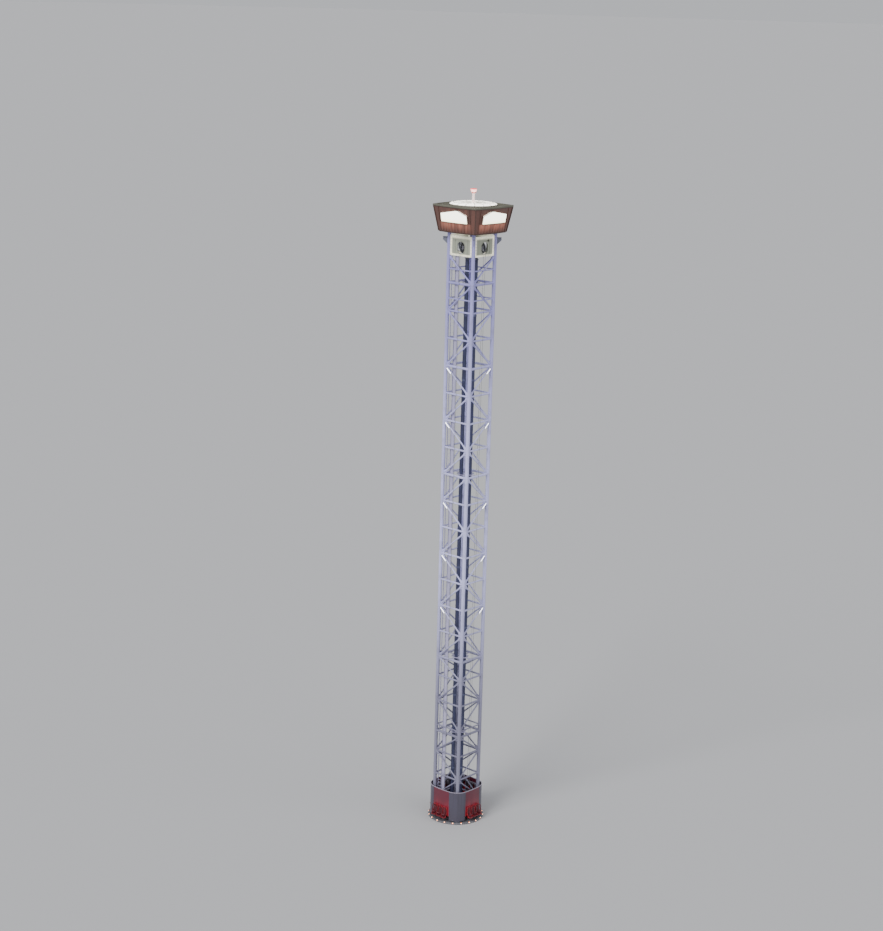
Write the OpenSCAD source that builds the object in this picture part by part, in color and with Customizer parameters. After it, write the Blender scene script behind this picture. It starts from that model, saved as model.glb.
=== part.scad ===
// Drop tower ride, a 1:2 scale model.
// Every size is a size of the model in millimetres, so the real one is twice as large.
// The origin is the centre of the plinth's underside, +Z is up and the front side faces -Y.

/* [Tower] */
// Distance between the centres of two neighbouring columns
tower_side = 1404; // [1300:2:1500]
// Outer diameter of a column tube
column_d = 162; // [140:2:180]
// Height of each bay in the main part of the tower
bay_h = 1217; // [1150:1:1300]
// Number of bays in each of the two main sections
section_bays = 7; // [5:1:7]
// Diameter of a horizontal strut
strut_d = 74; // [60:2:84]
// Diameter of a diagonal brace
brace_d = 64; // [50:2:74]
// Diameter of the heavy struts where two sections join
splice_strut_d = 100; // [90:2:110]
// Diameter of the light struts
light_strut_d = 54; // [40:2:60]
// Height of the bays in the lowest section, from the ground up
leg_bays = [925, 1120, 1120, 960]; // [800:5:1300]
// Height of the bays in the section above it, from the bottom up
foot_bays = [285, 1195, 1195, 905]; // [250:5:1300]

/* [Plinth] */
// Outer diameter of the round plinth
plinth_d = 2540; // [2500:10:2700]
// Height of the plinth
plinth_h = 75; // [70:5:90]
// Width of the sloping edge of the plinth
plinth_bevel = 46; // [42:2:50]
// Number of lamps round the plinth
lamp_count = 20; // [16:4:24]
// Diameter of a plinth lamp
lamp_d = 62; // [50:2:64]
// Diameter of the circle of anchor holes
anchor_pcd = 2360; // [2340:10:2380]
// Number of anchor holes
anchor_count = 12; // [8:4:16]
// Diameter of an anchor hole
anchor_hole_d = 22; // [18:1:26]

/* [Column ends] */
// Diameter of the round foot flange of a column
foot_flange_d = 290; // [270:10:300]
// Thickness of the foot flange
foot_flange_t = 30; // [20:2:34]
// Height of the stiffening ribs on the foot flange
foot_rib_h = 90; // [60:5:110]
// Diameter of the cap on top of a column
cap_d = 210; // [190:5:230]
// Thickness of the cap
cap_t = 20; // [14:2:26]

/* [Cables and sheaves] */
// Diameter of a hoist cable
cable_d = 12; // [10:1:14]
// Distance from the tower's axis to the outer run of a cable
cable_out = 770; // [766:1:776]
// Distance from the tower's axis to the inner run of a cable
cable_in = 270; // [250:5:290]
// Width of a sheave
sheave_w = 56; // [48:2:60]
// Depth of a sheave's rim outside the cable's centre line
sheave_rim = 10; // [8:1:12]
// Diameter of a sheave's axle
axle_d = 60; // [50:2:70]
// Side gap between a sheave and its cheeks
cheek_gap = 5; // [4:1:8]
// Thickness of the cheeks that hold a sheave
cheek_t = 12; // [10:1:16]

/* [Cylinders and ladder] */
// Outer diameter of one of the four air cylinders
cylinder_d = 150; // [130:5:160]
// Outer diameter of the flange at each end of a cylinder
cylinder_flange_d = 196; // [180:4:210]
// Thickness of a cylinder flange
cylinder_flange_t = 24; // [18:2:30]
// Gap between the upper ends of the cylinders and the head walls
cylinder_gap = 150; // [120:5:180]
// Distance from the left columns' axis to the ladder's centre
ladder_x = 205; // [200:1:220]
// Width of the ladder over its rails
ladder_w = 220; // [190:5:230]
// Distance between two rungs
rung_pitch = 150; // [140:5:170]
// Diameter of a rung
rung_d = 14; // [10:1:18]
// Distance from the backs of the heavy struts to the ladder and the cable tray
service_gap = 40; // [30:2:60]
// Width of the cable tray beside the ladder
tray_w = 150; // [120:5:170]

/* [Head] */
// Height of the open bay under the head walls
head_bay_h = 1202; // [1100:2:1300]
// Height of the four head walls
head_wall_h = 870; // [840:5:900]
// Thickness of a head wall
head_wall_t = 20; // [14:2:26]
// Width of the raised border round a head wall
head_border = 70; // [50:5:90]
// Width of the sheave opening in a head wall
sheave_slot_w = 430; // [400:10:450]
// Height of the sheave opening in a head wall
sheave_slot_h = 520; // [500:10:560]
// Height of the upper sheaves' axles, and of the openings' centres, above the walls' lower edge
sheave_rise = 360; // [350:5:380]
// Width of the upright ribs beside the opening
head_rib_w = 34; // [26:2:44]
// Diameter of the round port beside the opening, on two sides
port_d = 120; // [100:5:140]
// Distance from the port's centre to the side edge of its wall
port_side = 385; // [370:5:400]
// Distance from the port's centre to the upper edge of its wall
port_drop = 200; // [180:5:210]
// Distance that the side brackets stand out from a column
bracket_reach = 190; // [150:10:220]
// Height of the side brackets
bracket_h = 300; // [250:10:340]

/* [Crown] */
// Height of the crown from its soffit to the top of its roof
crown_h = 1150; // [1100:10:1200]
// Half of the width between two corners of a side at the top
crown_top_half = 1209; // [1150:1:1260]
// Half of the width between two corners of a side at the bottom
crown_low_half = 1018; // [1000:1:1060]
// Height of the arc of a side at the top
crown_bulge = 120; // [90:5:150]
// Thickness of the crown's walls
crown_wall_t = 30; // [20:2:40]
// Thickness of the soffit
soffit_t = 25; // [18:1:32]
// Thickness of the roof plate
roof_t = 40; // [30:2:50]
// Width of the raised rim on the roof
rim_w = 90; // [70:5:120]
// Height of the raised rim on the roof
rim_h = 28; // [20:2:36]
// Diameter of the round roof light
roof_light_d = 2040; // [1900:20:2100]
// Thickness of the roof light
roof_light_t = 110; // [90:5:130]
// Width of the light box on each side
sign_w = 1520; // [1400:20:1600]
// Height of the light box
sign_h = 565; // [540:5:590]
// Distance that the light box stands out
sign_t = 46; // [36:2:56]
// Height of the light box's lower edge above the soffit
sign_rise = 440; // [400:10:480]
// Height of a light box at its inner end, near the crown's ridge
sign_in_h = 350; // [320:5:380]
// Height of a light box at its outer end
sign_out_h = 385; // [350:5:420]
// Distance of a light box's highest point from its inner end
sign_peak = 500; // [450:10:550]
// Radius of a light box's lower corners
sign_corner_r = 60; // [40:5:80]

/* [Mast] */
// Diameter of the mast
mast_d = 110; // [90:5:130]
// Height of the mast above the roof
mast_h = 500; // [450:10:550]
// Diameter of the beacon
beacon_d = 290; // [250:10:330]
// Height of the beacon
beacon_h = 200; // [170:5:220]

/* [Carriage] */
// Gap between the tower and the inside of the carriage frame
frame_gap = 22; // [20:1:26]
// Width of the carriage's square frame tubes
frame_tube = 60; // [50:2:64]
// Height of the lower frame tube's middle above the ground
frame_low_z = 260; // [255:5:280]
// Height of the upper frame tube's middle above the ground
frame_top_z = 1360; // [1300:5:1370]
// Height of the upper edge of the carriage's panels
panel_top_z = 1500; // [1490:5:1560]
// Height of the lower edge of the side panels
panel_low_z = 310; // [300:5:330]
// Height of the lower edge of the corner panels
corner_low_z = 120; // [110:5:140]
// Thickness of the carriage's panels
panel_t = 12; // [8:1:14]
// Half of the width of a seat bay
seat_bay_half = 476; // [460:1:485]
// Distance from the tower's axis to the middle of a side panel
side_panel_y = 1030; // [1022:1:1036]
// Height of the arc of a side panel
side_bulge = 25; // [15:1:35]
// Distance from the tower's axis to the middle of a corner panel
corner_panel_r = 1178; // [1160:1:1190]
// Radius of the arc of a corner panel
corner_arc_r = 600; // [580:5:620]
// Width of the cap rail on the panels
cap_rail_w = 24; // [20:1:30]
// Height of the cap rail on the panels
cap_rail_h = 26; // [20:1:32]
// Distance that the carriage can rise
travel = 24000; // [20000:100:24200]

/* [Rollers] */
// Diameter of a guide roller
roller_d = 80; // [70:2:84]
// Width of a guide roller
roller_w = 50; // [40:2:54]
// Running gap between a roller and its column
roller_gap = 0.3; // [0.3:0.1:0.9]
// Diameter of a roller's pin
roller_pin_d = 24; // [20:1:28]

/* [Seats] */
// Number of seats on each side
seats_per_side = 3; // [2:1:3]
// Distance between the middles of two seats
seat_pitch = 298; // [290:1:304]
// Width of a seat
seat_w = 236; // [220:2:240]
// Depth of a seat from its back
seat_depth = 225; // [205:5:235]
// Height of a seat's back above its pan
seat_back_h = 440; // [400:5:460]
// Thickness of a seat's shell
seat_t = 30; // [24:1:36]
// Diameter of the restraint's hinge tube
restraint_d = 34; // [28:1:38]

/* [Flood lights] */
// Length of a flood light on the braces
flood_l = 340; // [280:10:380]
// Width of a flood light
flood_w = 84; // [70:2:96]
// Depth of a flood light
flood_t = 38; // [30:2:44]
// Distance from the column's axis to the near end of a flood light, along its brace
flood_start = 142; // [138:2:200]

/* [Hidden] */
// Gap at a seat where two curved faces meet
seat_gap = 0.3;
fine = 64;
coarse = 32;
half = tower_side / 2;
column_r = column_d / 2;
face_out = half + column_r;

function sum_to(list, n) = n <= 0 ? 0 : list[n - 1] + sum_to(list, n - 1);

leg_top = sum_to(leg_bays, len(leg_bays));
foot_top = leg_top + sum_to(foot_bays, len(foot_bays));
lower_top = foot_top + section_bays * bay_h;
upper_top = lower_top + section_bays * bay_h;
head_wall_z = upper_top + head_bay_h;
crown_z = head_wall_z + head_wall_h + 130;
column_top = crown_z;
column_foot = plinth_h;

// Distance from the tower's axis to the fronts of the ladder and the cable tray
service_y = half - splice_strut_d / 2 - service_gap;
holder_w = 30;
holder_h = 40;

sheave_r = (cable_out - cable_in) / 2;
sheave_y = (cable_out + cable_in) / 2;
head_sheave_z = head_wall_z + sheave_rise;
base_sheave_z = plinth_h + sheave_r + sheave_rim + 30;
cylinder_low = base_sheave_z + sheave_r;
cylinder_high = head_wall_z - cylinder_gap;
spider_levels = [leg_top, foot_top, lower_top, upper_top];

crown_top_z = crown_z + crown_h;
wall_low = crown_z + soffit_t;
wall_high = crown_top_z - roof_t;
crown_arc_top = (crown_top_half * crown_top_half) / (2 * crown_bulge) + crown_bulge / 2;
crown_axis = crown_arc_top - crown_top_half - crown_bulge;
crown_arc_low = sqrt((pow(2 * crown_low_half + crown_axis, 2) + crown_axis * crown_axis) / 2);

frame_in = face_out + frame_gap;
frame_out = frame_in + frame_tube;
side_arc_r = (seat_bay_half * seat_bay_half) / (2 * side_bulge) + side_bulge / 2;
corner_centre = (corner_panel_r - corner_arc_r) / sqrt(2);
// Distance from the middle of a side to the cut between the frame's sides and corners
split_x = 640;
// Distance from the middle of a side to its outer posts
post_x = 430;
roller_y = face_out + roller_gap + roller_d / 2;
roller_up_z = frame_top_z + frame_tube / 2 + roller_d / 2 + 18;
roller_low_z = frame_low_z - frame_tube / 2 - roller_d / 2 - 18;
seat_arm_h = 40;
seat_arm_z = frame_low_z - frame_tube / 2;
seat_z = seat_arm_z + seat_arm_h;
seat_back_y = side_panel_y + 6;
STEEL = [0.86, 0.85, 0.93];
CREAM = [0.95, 0.92, 0.82];
COPPER = [0.43, 0.29, 0.27];
MAROON = [0.45, 0.14, 0.20];
PLUM = [0.36, 0.34, 0.40];
GREY = [0.45, 0.45, 0.48];
DARK = [0.13, 0.13, 0.15];
GLOW = [1.0, 0.97, 0.85];

// A straight bar of few sides from point p to point q
module bar(p, q, d, sides = 8) {
    v = q - p;
    length = norm(v);
    translate(p)
        rotate([0, acos(v[2] / length), atan2(v[1], v[0])])
            rotate([0, 0, 180 / sides])
                cylinder(d = d / cos(180 / sides), h = length, $fn = sides);
}

// Puts a piece that is drawn on the front side on side i
module on_side(i) {
    rotate([0, 0, 90 * i]) children();
}

// Puts a piece that is drawn at the front right corner on corner i
module on_corner(i) {
    rotate([0, 0, 90 * (i - 1)]) children();
}

// The round plinth with its lamp edge and anchor holes
module plinth() {
    color(GREY)
        difference() {
            rotate_extrude($fn = 2 * fine)
                polygon([
                    [0, 0],
                    [plinth_d / 2, 0],
                    [plinth_d / 2, plinth_h - plinth_bevel],
                    [plinth_d / 2 - plinth_bevel, plinth_h],
                    [0, plinth_h]
                ]);
            for (i = [0 : anchor_count - 1])
                rotate([0, 0, (i + 0.5) * 360 / anchor_count])
                    translate([anchor_pcd / 2, 0, -1])
                        cylinder(d = anchor_hole_d, h = plinth_h + 2, $fn = coarse);
        }
}

// Small round lamps on the sloping edge of the plinth
module plinth_lamps() {
    color("orange")
        for (i = [0 : lamp_count - 1])
            rotate([0, 0, i * 360 / lamp_count])
                translate([plinth_d / 2 - plinth_bevel / 2, 0, plinth_h - plinth_bevel / 2])
                    rotate([0, 45, 0])
                        union() {
                            translate([0, 0, seat_gap])
                                cylinder(d = lamp_d, h = 8, $fn = coarse);
                            translate([0, 0, 8])
                                cylinder(d1 = lamp_d - 8, d2 = lamp_d - 26, h = 9, $fn = coarse);
                        }
}

// A column tube with its foot flange, ribs and cap, at the front right corner
module column() {
    color(STEEL)
        translate([half, -half, column_foot]) {
            cylinder(d = column_d, h = column_top - column_foot, $fn = fine);
            cylinder(d = foot_flange_d, h = foot_flange_t, $fn = fine);
            for (a = [45 : 90 : 315])
                rotate([90, 0, a])
                    translate([0, 0, -6])
                        linear_extrude(height = 12)
                            polygon([
                                [column_r - 10, foot_flange_t - 1],
                                [foot_flange_d / 2 - 12, foot_flange_t - 1],
                                [column_r, foot_flange_t + foot_rib_h],
                                [column_r - 10, foot_flange_t + foot_rib_h]
                            ]);
            translate([0, 0, column_top - column_foot - cap_t])
                cylinder(d = cap_d, h = cap_t, $fn = fine);
        }
}

// One horizontal strut of a side at height z
module strut(z, d) {
    bar([-half, -half, z], [half, -half, z], d);
}

// Diagonals of a stack of bays: first is 1 where the lowest one falls towards the left column
module diagonals(z0, bays, first) {
    for (k = [0 : len(bays) - 1]) {
        s = (k % 2 == 0) ? first : -first;
        low = z0 + sum_to(bays, k);
        bar([-s * half, -half, low], [s * half, -half, low + bays[k]], brace_d);
    }
}

// All struts and braces of the front side
module side_bars() {
    main_bays = [for (k = [1 : section_bays]) bay_h];
    for (k = [1 : len(leg_bays) - 1])
        strut(sum_to(leg_bays, k), strut_d);
    strut(leg_top, splice_strut_d);
    diagonals(sum_to(leg_bays, 1), [for (k = [1 : len(leg_bays) - 1]) leg_bays[k]], 1);
    strut(leg_top + foot_bays[0], light_strut_d);
    for (k = [2 : len(foot_bays) - 1])
        strut(leg_top + sum_to(foot_bays, k), strut_d);
    strut(foot_top, splice_strut_d);
    diagonals(leg_top + foot_bays[0], [for (k = [1 : len(foot_bays) - 1]) foot_bays[k]], -1);
    for (k = [1 : section_bays - 1]) {
        strut(foot_top + k * bay_h, strut_d);
        strut(lower_top + k * bay_h, k == section_bays - 3 ? splice_strut_d : strut_d);
    }
    strut(lower_top, splice_strut_d);
    diagonals(foot_top, main_bays, 1);
    diagonals(lower_top, main_bays, 1);
    strut(upper_top - 0.56 * bay_h, light_strut_d);
    strut(upper_top, splice_strut_d);
    strut(upper_top + head_bay_h / 2, light_strut_d);
    bar([half, -half, upper_top], [-half, -half, head_wall_z - 30], brace_d);
}

// The bars of the front side, cut round both columns and under the head wall
module side_lattice() {
    difference() {
        side_bars();
        for (x = [-half, half])
            translate([x, -half, 0])
                cylinder(r = column_r + seat_gap, h = column_top, $fn = fine);
        translate([-half, -half - head_wall_t, head_wall_z - seat_gap])
            cube([tower_side, 2 * head_wall_t, head_wall_h]);
    }
}

// The lattice of side i: its braces mirror those of the sides beside it
module lattice(i) {
    color(STEEL)
        on_side(i)
            if (i % 2 == 0)
                side_lattice();
            else
                mirror([1, 0, 0]) side_lattice();
}

// The four air cylinders that drive the carriage
module air_cylinders() {
    color(GREY)
        for (i = [0 : 3])
            on_side(i)
                translate([0, -cable_in, cylinder_low]) {
                    cylinder(d = cylinder_d, h = cylinder_high - cylinder_low, $fn = fine);
                    cylinder(d = cylinder_flange_d, h = cylinder_flange_t, $fn = fine);
                    translate([0, 0, cylinder_high - cylinder_low - cylinder_flange_t])
                        cylinder(d = cylinder_flange_d, h = cylinder_flange_t, $fn = fine);
                }
}

// Plates that hold the cylinders, each with four arms to the heavy struts
module cylinder_braces() {
    plate_t = 20;
    arm_w = 90;
    hub = cable_in + cylinder_d / 2 + 45;
    color(STEEL)
        for (z = spider_levels)
            translate([0, 0, z - plate_t / 2])
                difference() {
                    union() {
                        cylinder(r = hub, h = plate_t, $fn = 8);
                        for (i = [0 : 3])
                            on_side(i)
                                translate([-arm_w / 2, -half + splice_strut_d / 2 + seat_gap, 0])
                                    cube([arm_w, half - hub / 2, plate_t]);
                    }
                    for (i = [0 : 3])
                        on_side(i)
                            translate([0, -cable_in, -1])
                                cylinder(r = cylinder_d / 2 + seat_gap, h = plate_t + 2, $fn = fine);
                    translate([0, 0, -1])
                        cylinder(r = 110, h = plate_t + 2, $fn = fine);
                }
}

// A ladder of flat rails and round rungs inside the front left corner
module ladder() {
    rail_t = 12;
    rail_depth = 40;
    low = plinth_h + foot_flange_t + foot_rib_h + 10;
    high = head_wall_z - 40;
    color(STEEL)
        translate([-half + ladder_x, -service_y, 0]) {
            for (x = [-ladder_w / 2, ladder_w / 2 - rail_t])
                translate([x, 0, low])
                    cube([rail_t, rail_depth, high - low]);
            for (z = [low + rung_pitch : rung_pitch : high - 50])
                translate([-ladder_w / 2 + rail_t / 2, rail_depth / 2, z])
                    rotate([0, 90, 0])
                        cylinder(d = rung_d, h = ladder_w - rail_t, $fn = 6);
            for (x = [-1, 1])
                translate([x * (ladder_w - holder_w) / 2, 0, 0]) holders();
        }
}

// Short arms from the backs of the front struts to a ladder rail or cable tray at y = 0
module holders() {
    reach = half - strut_d / 2 - seat_gap - service_y;
    for (k = [1 : 2 : section_bays - 2], z0 = [foot_top, lower_top])
        translate([-holder_w / 2, -reach, z0 + k * bay_h - holder_h / 2])
            cube([holder_w, reach + 3, holder_h]);
}

// A cable tray of channel section beside the ladder
module cable_tray() {
    tray_t = 4;
    tray_depth = 40;
    color(STEEL)
        translate([-half + ladder_x + ladder_w / 2 + 30, -service_y, 0]) {
            difference() {
                translate([0, 0, plinth_h])
                    cube([tray_w, tray_depth, head_wall_z - 40 - plinth_h]);
                translate([tray_t, tray_t, plinth_h - 1])
                    cube([tray_w - 2 * tray_t, tray_depth, head_wall_z]);
            }
            translate([tray_w / 2, 0, 0]) holders();
        }
}

// A sheave with its groove and lightening holes, its axis along X
module sheave() {
    holes = 6;
    hub_r = axle_d / 2 + 35;
    rim_in = sheave_r - 36;
    rotate([0, 90, 0])
        difference() {
            rotate_extrude($fn = 2 * fine)
                difference() {
                    polygon([
                        [axle_d / 2 + seat_gap, -sheave_w / 2],
                        [hub_r, -sheave_w / 2],
                        [hub_r, -8],
                        [rim_in, -8],
                        [rim_in, -20],
                        [sheave_r + sheave_rim, -20],
                        [sheave_r + sheave_rim, 20],
                        [rim_in, 20],
                        [rim_in, 8],
                        [hub_r, 8],
                        [hub_r, sheave_w / 2],
                        [axle_d / 2 + seat_gap, sheave_w / 2]
                    ]);
                    translate([sheave_r, 0])
                        circle(r = cable_d / 2 + seat_gap, $fn = coarse);
                    translate([sheave_r, -cable_d / 2 - seat_gap])
                        square([2 * sheave_rim, cable_d + 2 * seat_gap]);
                }
            for (k = [0 : holes - 1])
                rotate([0, 0, k * 360 / holes])
                    translate([(hub_r + rim_in) / 2, 0, -sheave_w])
                        cylinder(d = 84, h = 2 * sheave_w, $fn = coarse);
        }
}

// The four sheaves at height z
module sheaves(z) {
    color(GREY)
        for (i = [0 : 3])
            on_side(i)
                translate([0, -sheave_y, z])
                    sheave();
}

// An axle along X that carries a sheave between two cheeks
module axle() {
    length = sheave_w + 2 * (cheek_gap + cheek_t) + 24;
    translate([-length / 2, 0, 0])
        rotate([0, 90, 0])
            cylinder(d = axle_d, h = length, $fn = fine);
}

// Stands with two cheeks and an axle that carry the lower sheaves
module base_sheave_stands() {
    rise = base_sheave_z - plinth_h;
    color(STEEL)
        for (i = [0 : 3])
            on_side(i)
                translate([0, -sheave_y, plinth_h]) {
                    for (s = [-1, 1])
                        translate([s * (sheave_w / 2 + cheek_gap + cheek_t / 2) - cheek_t / 2, 0, 0])
                            rotate([90, 0, 90])
                                linear_extrude(height = cheek_t)
                                    polygon([
                                        [-130, 0], [130, 0], [130, 20],
                                        [60, rise + 55], [-60, rise + 55], [-130, 20]
                                    ]);
                    translate([0, 0, rise]) axle();
                }
}

// The frame of cheeks and axles that carries the upper sheaves inside the head
module head_sheave_frame() {
    depth = 150;
    hub = 212;
    hub_wall = 24;
    outer = half - head_wall_t / 2 - seat_gap;
    color(STEEL)
        translate([0, 0, head_sheave_z]) {
            difference() {
                translate([-hub, -hub, -depth / 2]) cube([2 * hub, 2 * hub, depth]);
                translate([-hub + hub_wall, -hub + hub_wall, -depth])
                    cube([2 * (hub - hub_wall), 2 * (hub - hub_wall), 2 * depth]);
            }
            for (i = [0 : 3])
                on_side(i) {
                    for (s = [-1, 1])
                        translate([
                            s * (sheave_w / 2 + cheek_gap + cheek_t / 2) - cheek_t / 2,
                            -outer,
                            -depth / 2
                        ])
                            cube([cheek_t, outer - hub + hub_wall / 2, depth]);
                    translate([0, -sheave_y, 0]) axle();
                }
        }
}

// Half a turn of cable round a sheave, over it or under it
module cable_turn(under) {
    rotate([90, 0, 90])
        rotate([0, 0, under ? 180 : 0])
            rotate_extrude(angle = 180, $fn = 2 * fine)
                translate([sheave_r, 0])
                    circle(d = cable_d, $fn = coarse);
}

// The four hoist cables, each from the foot of its cylinder to its head, round both sheaves
module hoist_cables() {
    color(DARK)
        for (i = [0 : 3])
            on_side(i) {
                translate([0, -cable_out, base_sheave_z])
                    cylinder(d = cable_d, h = head_sheave_z - base_sheave_z, $fn = coarse);
                translate([0, -sheave_y, head_sheave_z]) cable_turn(false);
                translate([0, -sheave_y, base_sheave_z]) cable_turn(true);
                translate([0, -cable_in, base_sheave_z])
                    cylinder(d = cable_d, h = cylinder_low - base_sheave_z, $fn = coarse);
                translate([0, -cable_in, cylinder_high])
                    cylinder(d = cable_d, h = head_sheave_z - cylinder_high, $fn = coarse);
            }
}

// The outline of a sheave opening, grown by m
module slot_outline(m) {
    r = sheave_slot_w / 2;
    rise = sheave_slot_h / 2 - r;
    for (s = [-1, 1])
        translate([0, s * rise])
            circle(r = r + m, $fn = fine);
    square([2 * (r + m), 2 * rise], center = true);
}

// The wall of the head on side i, between two columns, with its sheave opening
module head_wall(i) {
    wall_w = tower_side - column_d - 2 * seat_gap;
    raise = 14;
    collar_w = 26;
    slot_mid = sheave_rise;
    rib_gap = 110;
    rib_x = sheave_slot_w / 2 + collar_w + rib_gap;
    color(CREAM)
        on_side(i)
            translate([0, -half + head_wall_t / 2, head_wall_z])
                rotate([90, 0, 0])
                    difference() {
                        union() {
                            translate([-wall_w / 2, 0, 0])
                                cube([wall_w, head_wall_h, head_wall_t]);
                            translate([0, 0, head_wall_t - 1])
                                linear_extrude(height = raise + 1)
                                    difference() {
                                        translate([-wall_w / 2 + 16, 0])
                                            square([wall_w - 32, head_wall_h]);
                                        translate([-wall_w / 2 + head_border, head_border])
                                            square([
                                                wall_w - 2 * head_border,
                                                head_wall_h - 2 * head_border
                                            ]);
                                    }
                            for (x = [-rib_x, rib_x])
                                translate([x - head_rib_w / 2, head_border - 1, head_wall_t - 1])
                                    cube([
                                        head_rib_w,
                                        head_wall_h - 2 * head_border + 2,
                                        raise + 1
                                    ]);
                            translate([0, slot_mid, head_wall_t - 1])
                                linear_extrude(height = raise + 1)
                                    slot_outline(collar_w);
                        }
                        translate([0, slot_mid, -1])
                            linear_extrude(height = head_wall_t + raise + 2)
                                slot_outline(0);
                        if (i % 2 == 1)
                            translate([wall_w / 2 - port_side, head_wall_h - port_drop, -1])
                                cylinder(d = port_d, h = head_wall_t + raise + 2, $fn = fine);
                    }
}

// The four walls of the head
module head_walls() {
    for (i = [0 : 3])
        head_wall(i);
}

// Brackets that stand out from the columns beside the head walls
module head_brackets() {
    plate_t = 14;
    low = head_wall_z + head_wall_h - bracket_h - 100;
    start = column_r + seat_gap;
    color(GREY)
        for (c = [0 : 3])
            on_corner(c)
                translate([half, -half, low])
                    rotate([0, 0, -45]) {
                        rotate([90, 0, 0])
                            translate([0, 0, -plate_t / 2])
                                linear_extrude(height = plate_t)
                                    polygon([
                                        [start, 0],
                                        [column_r + bracket_reach, bracket_h * 0.6],
                                        [column_r + bracket_reach, bracket_h],
                                        [start, bracket_h]
                                    ]);
                        difference() {
                            translate([0, -60, bracket_h - 1])
                                cube([column_r + bracket_reach, 120, plate_t]);
                            translate([0, 0, bracket_h - 2])
                                cylinder(r = start, h = plate_t + 3, $fn = fine);
                        }
                    }
}

// Flood lights on the braces, just below the nodes where the braces start to fall inwards
module flood_lights() {
    levels = [for (k = [3, 5]) upper_top - k * bay_h, for (k = [1, 3, 5]) lower_top - k * bay_h];
    slope = atan(bay_h / tower_side);
    reach = flood_start + flood_l / 2;
    color("white")
        for (i = [0 : 3], z = levels) {
            s = (i % 2 == 0) ? 1 : -1;
            on_side(i)
                translate([
                    -s * (half - reach * cos(slope)),
                    -half - brace_d / 2 - seat_gap - flood_t,
                    z - reach * sin(slope)
                ])
                    rotate([0, s * slope, 0])
                        translate([-flood_l / 2, 0, -flood_w / 2])
                            cube([flood_l, flood_t, flood_w]);
        }
}

// Radius of the crown's round sides at height z
function crown_r(z) = crown_arc_low + (crown_arc_top - crown_arc_low) * (z - crown_z) / crown_h;

// Half of the width between two corners of the crown where its sides have radius r
function crown_half(r) = (sqrt(2 * r * r - crown_axis * crown_axis) - crown_axis) / 2;

// Outline of the crown where its sides have radius r
module crown_outline(r) {
    intersection_for (i = [0 : 3])
        rotate([0, 0, 90 * i])
            translate([0, crown_axis])
                circle(r = r, $fn = 360);
}

// Solid of one leaning round side of the crown, grown by m, from z0 to z1
module crown_cone(m, z0, z1) {
    translate([0, crown_axis, z0])
        cylinder(r1 = crown_r(z0) + m, r2 = crown_r(z1) + m, h = z1 - z0, $fn = 360);
}

// The plate that closes the crown from below and rests on the column caps
module crown_soffit() {
    color(COPPER)
        translate([0, 0, crown_z])
            linear_extrude(height = soffit_t)
                crown_outline(crown_arc_low);
}

// One leaning round wall of the crown, mitred at both corners
module crown_wall(i) {
    far = 2 * crown_top_half;
    color(COPPER)
        on_side(i)
            intersection() {
                difference() {
                    crown_cone(0, wall_low, wall_high);
                    crown_cone(-crown_wall_t, wall_low - 1, wall_high + 1);
                }
                translate([0, 0, wall_low])
                    linear_extrude(height = wall_high - wall_low)
                        polygon([[0, 0], [-far, -far], [far, -far]]);
            }
}

// Trims that cover the crown's four corners
module crown_corner_trims() {
    trim_d = 36;
    trim_gap = 1.1;
    push = (trim_d / 2 + trim_gap) / sqrt(2);
    low = crown_half(crown_r(wall_low + 6)) + push;
    high = crown_half(crown_r(wall_high - 6)) + push;
    color(COPPER)
        for (c = [0 : 3])
            on_corner(c)
                bar([low, -low, wall_low + 6], [high, -high, wall_high - 6], trim_d);
}

// The outline of a light box: round lower corners under an upper edge that rises to a peak
module sign_outline() {
    corner_r = sign_corner_r;
    intersection() {
        union() {
            translate([-sign_w / 2 + corner_r, 0]) square([sign_w - 2 * corner_r, sign_h]);
            translate([-sign_w / 2, corner_r]) square([sign_w, sign_h - corner_r]);
            for (x = [-1, 1])
                translate([x * (sign_w / 2 - corner_r), corner_r])
                    circle(r = corner_r, $fn = coarse);
        }
        polygon([
            [-sign_w / 2, 0],
            [sign_w / 2, 0],
            [sign_w / 2, sign_in_h],
            [sign_w / 2 - sign_peak, sign_h],
            [-sign_w / 2, sign_out_h]
        ]);
    }
}

// Light boxes that follow the crown's walls, one on each side, with plain faces
module crown_light_boxes() {
    low = crown_z + sign_rise;
    color(GLOW)
        for (i = [0 : 3])
            on_side(i)
                intersection() {
                    difference() {
                        crown_cone(sign_t, low - 10, low + sign_h + 10);
                        crown_cone(seat_gap, low - 20, low + sign_h + 20);
                    }
                    translate([0, 0, low])
                        rotate([90, 0, 0])
                            linear_extrude(height = 2 * crown_top_half)
                                if (i % 2 == 0)
                                    sign_outline();
                                else
                                    mirror([1, 0, 0]) sign_outline();
                }
}

// The roof plate with its raised rim
module crown_roof() {
    over = 25;
    color(COPPER) {
        translate([0, 0, wall_high])
            linear_extrude(height = roof_t)
                crown_outline(crown_arc_top + over);
        translate([0, 0, crown_top_z - 1])
            linear_extrude(height = rim_h + 1)
                difference() {
                    crown_outline(crown_arc_top + over);
                    crown_outline(crown_arc_top + over - rim_w);
                }
    }
}

// The round light on the roof, a low dome with a hole for the mast's foot
module roof_light() {
    hole_r = mast_d / 2 + 60;
    color(GLOW)
        translate([0, 0, crown_top_z])
            rotate_extrude($fn = 2 * fine)
                polygon([
                    [hole_r, 0],
                    [roof_light_d / 2, 0],
                    [roof_light_d / 2, roof_light_t * 0.45],
                    [roof_light_d / 2 - 50, roof_light_t * 0.8],
                    [roof_light_d / 2 - 140, roof_light_t],
                    [hole_r, roof_light_t]
                ]);
}

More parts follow.
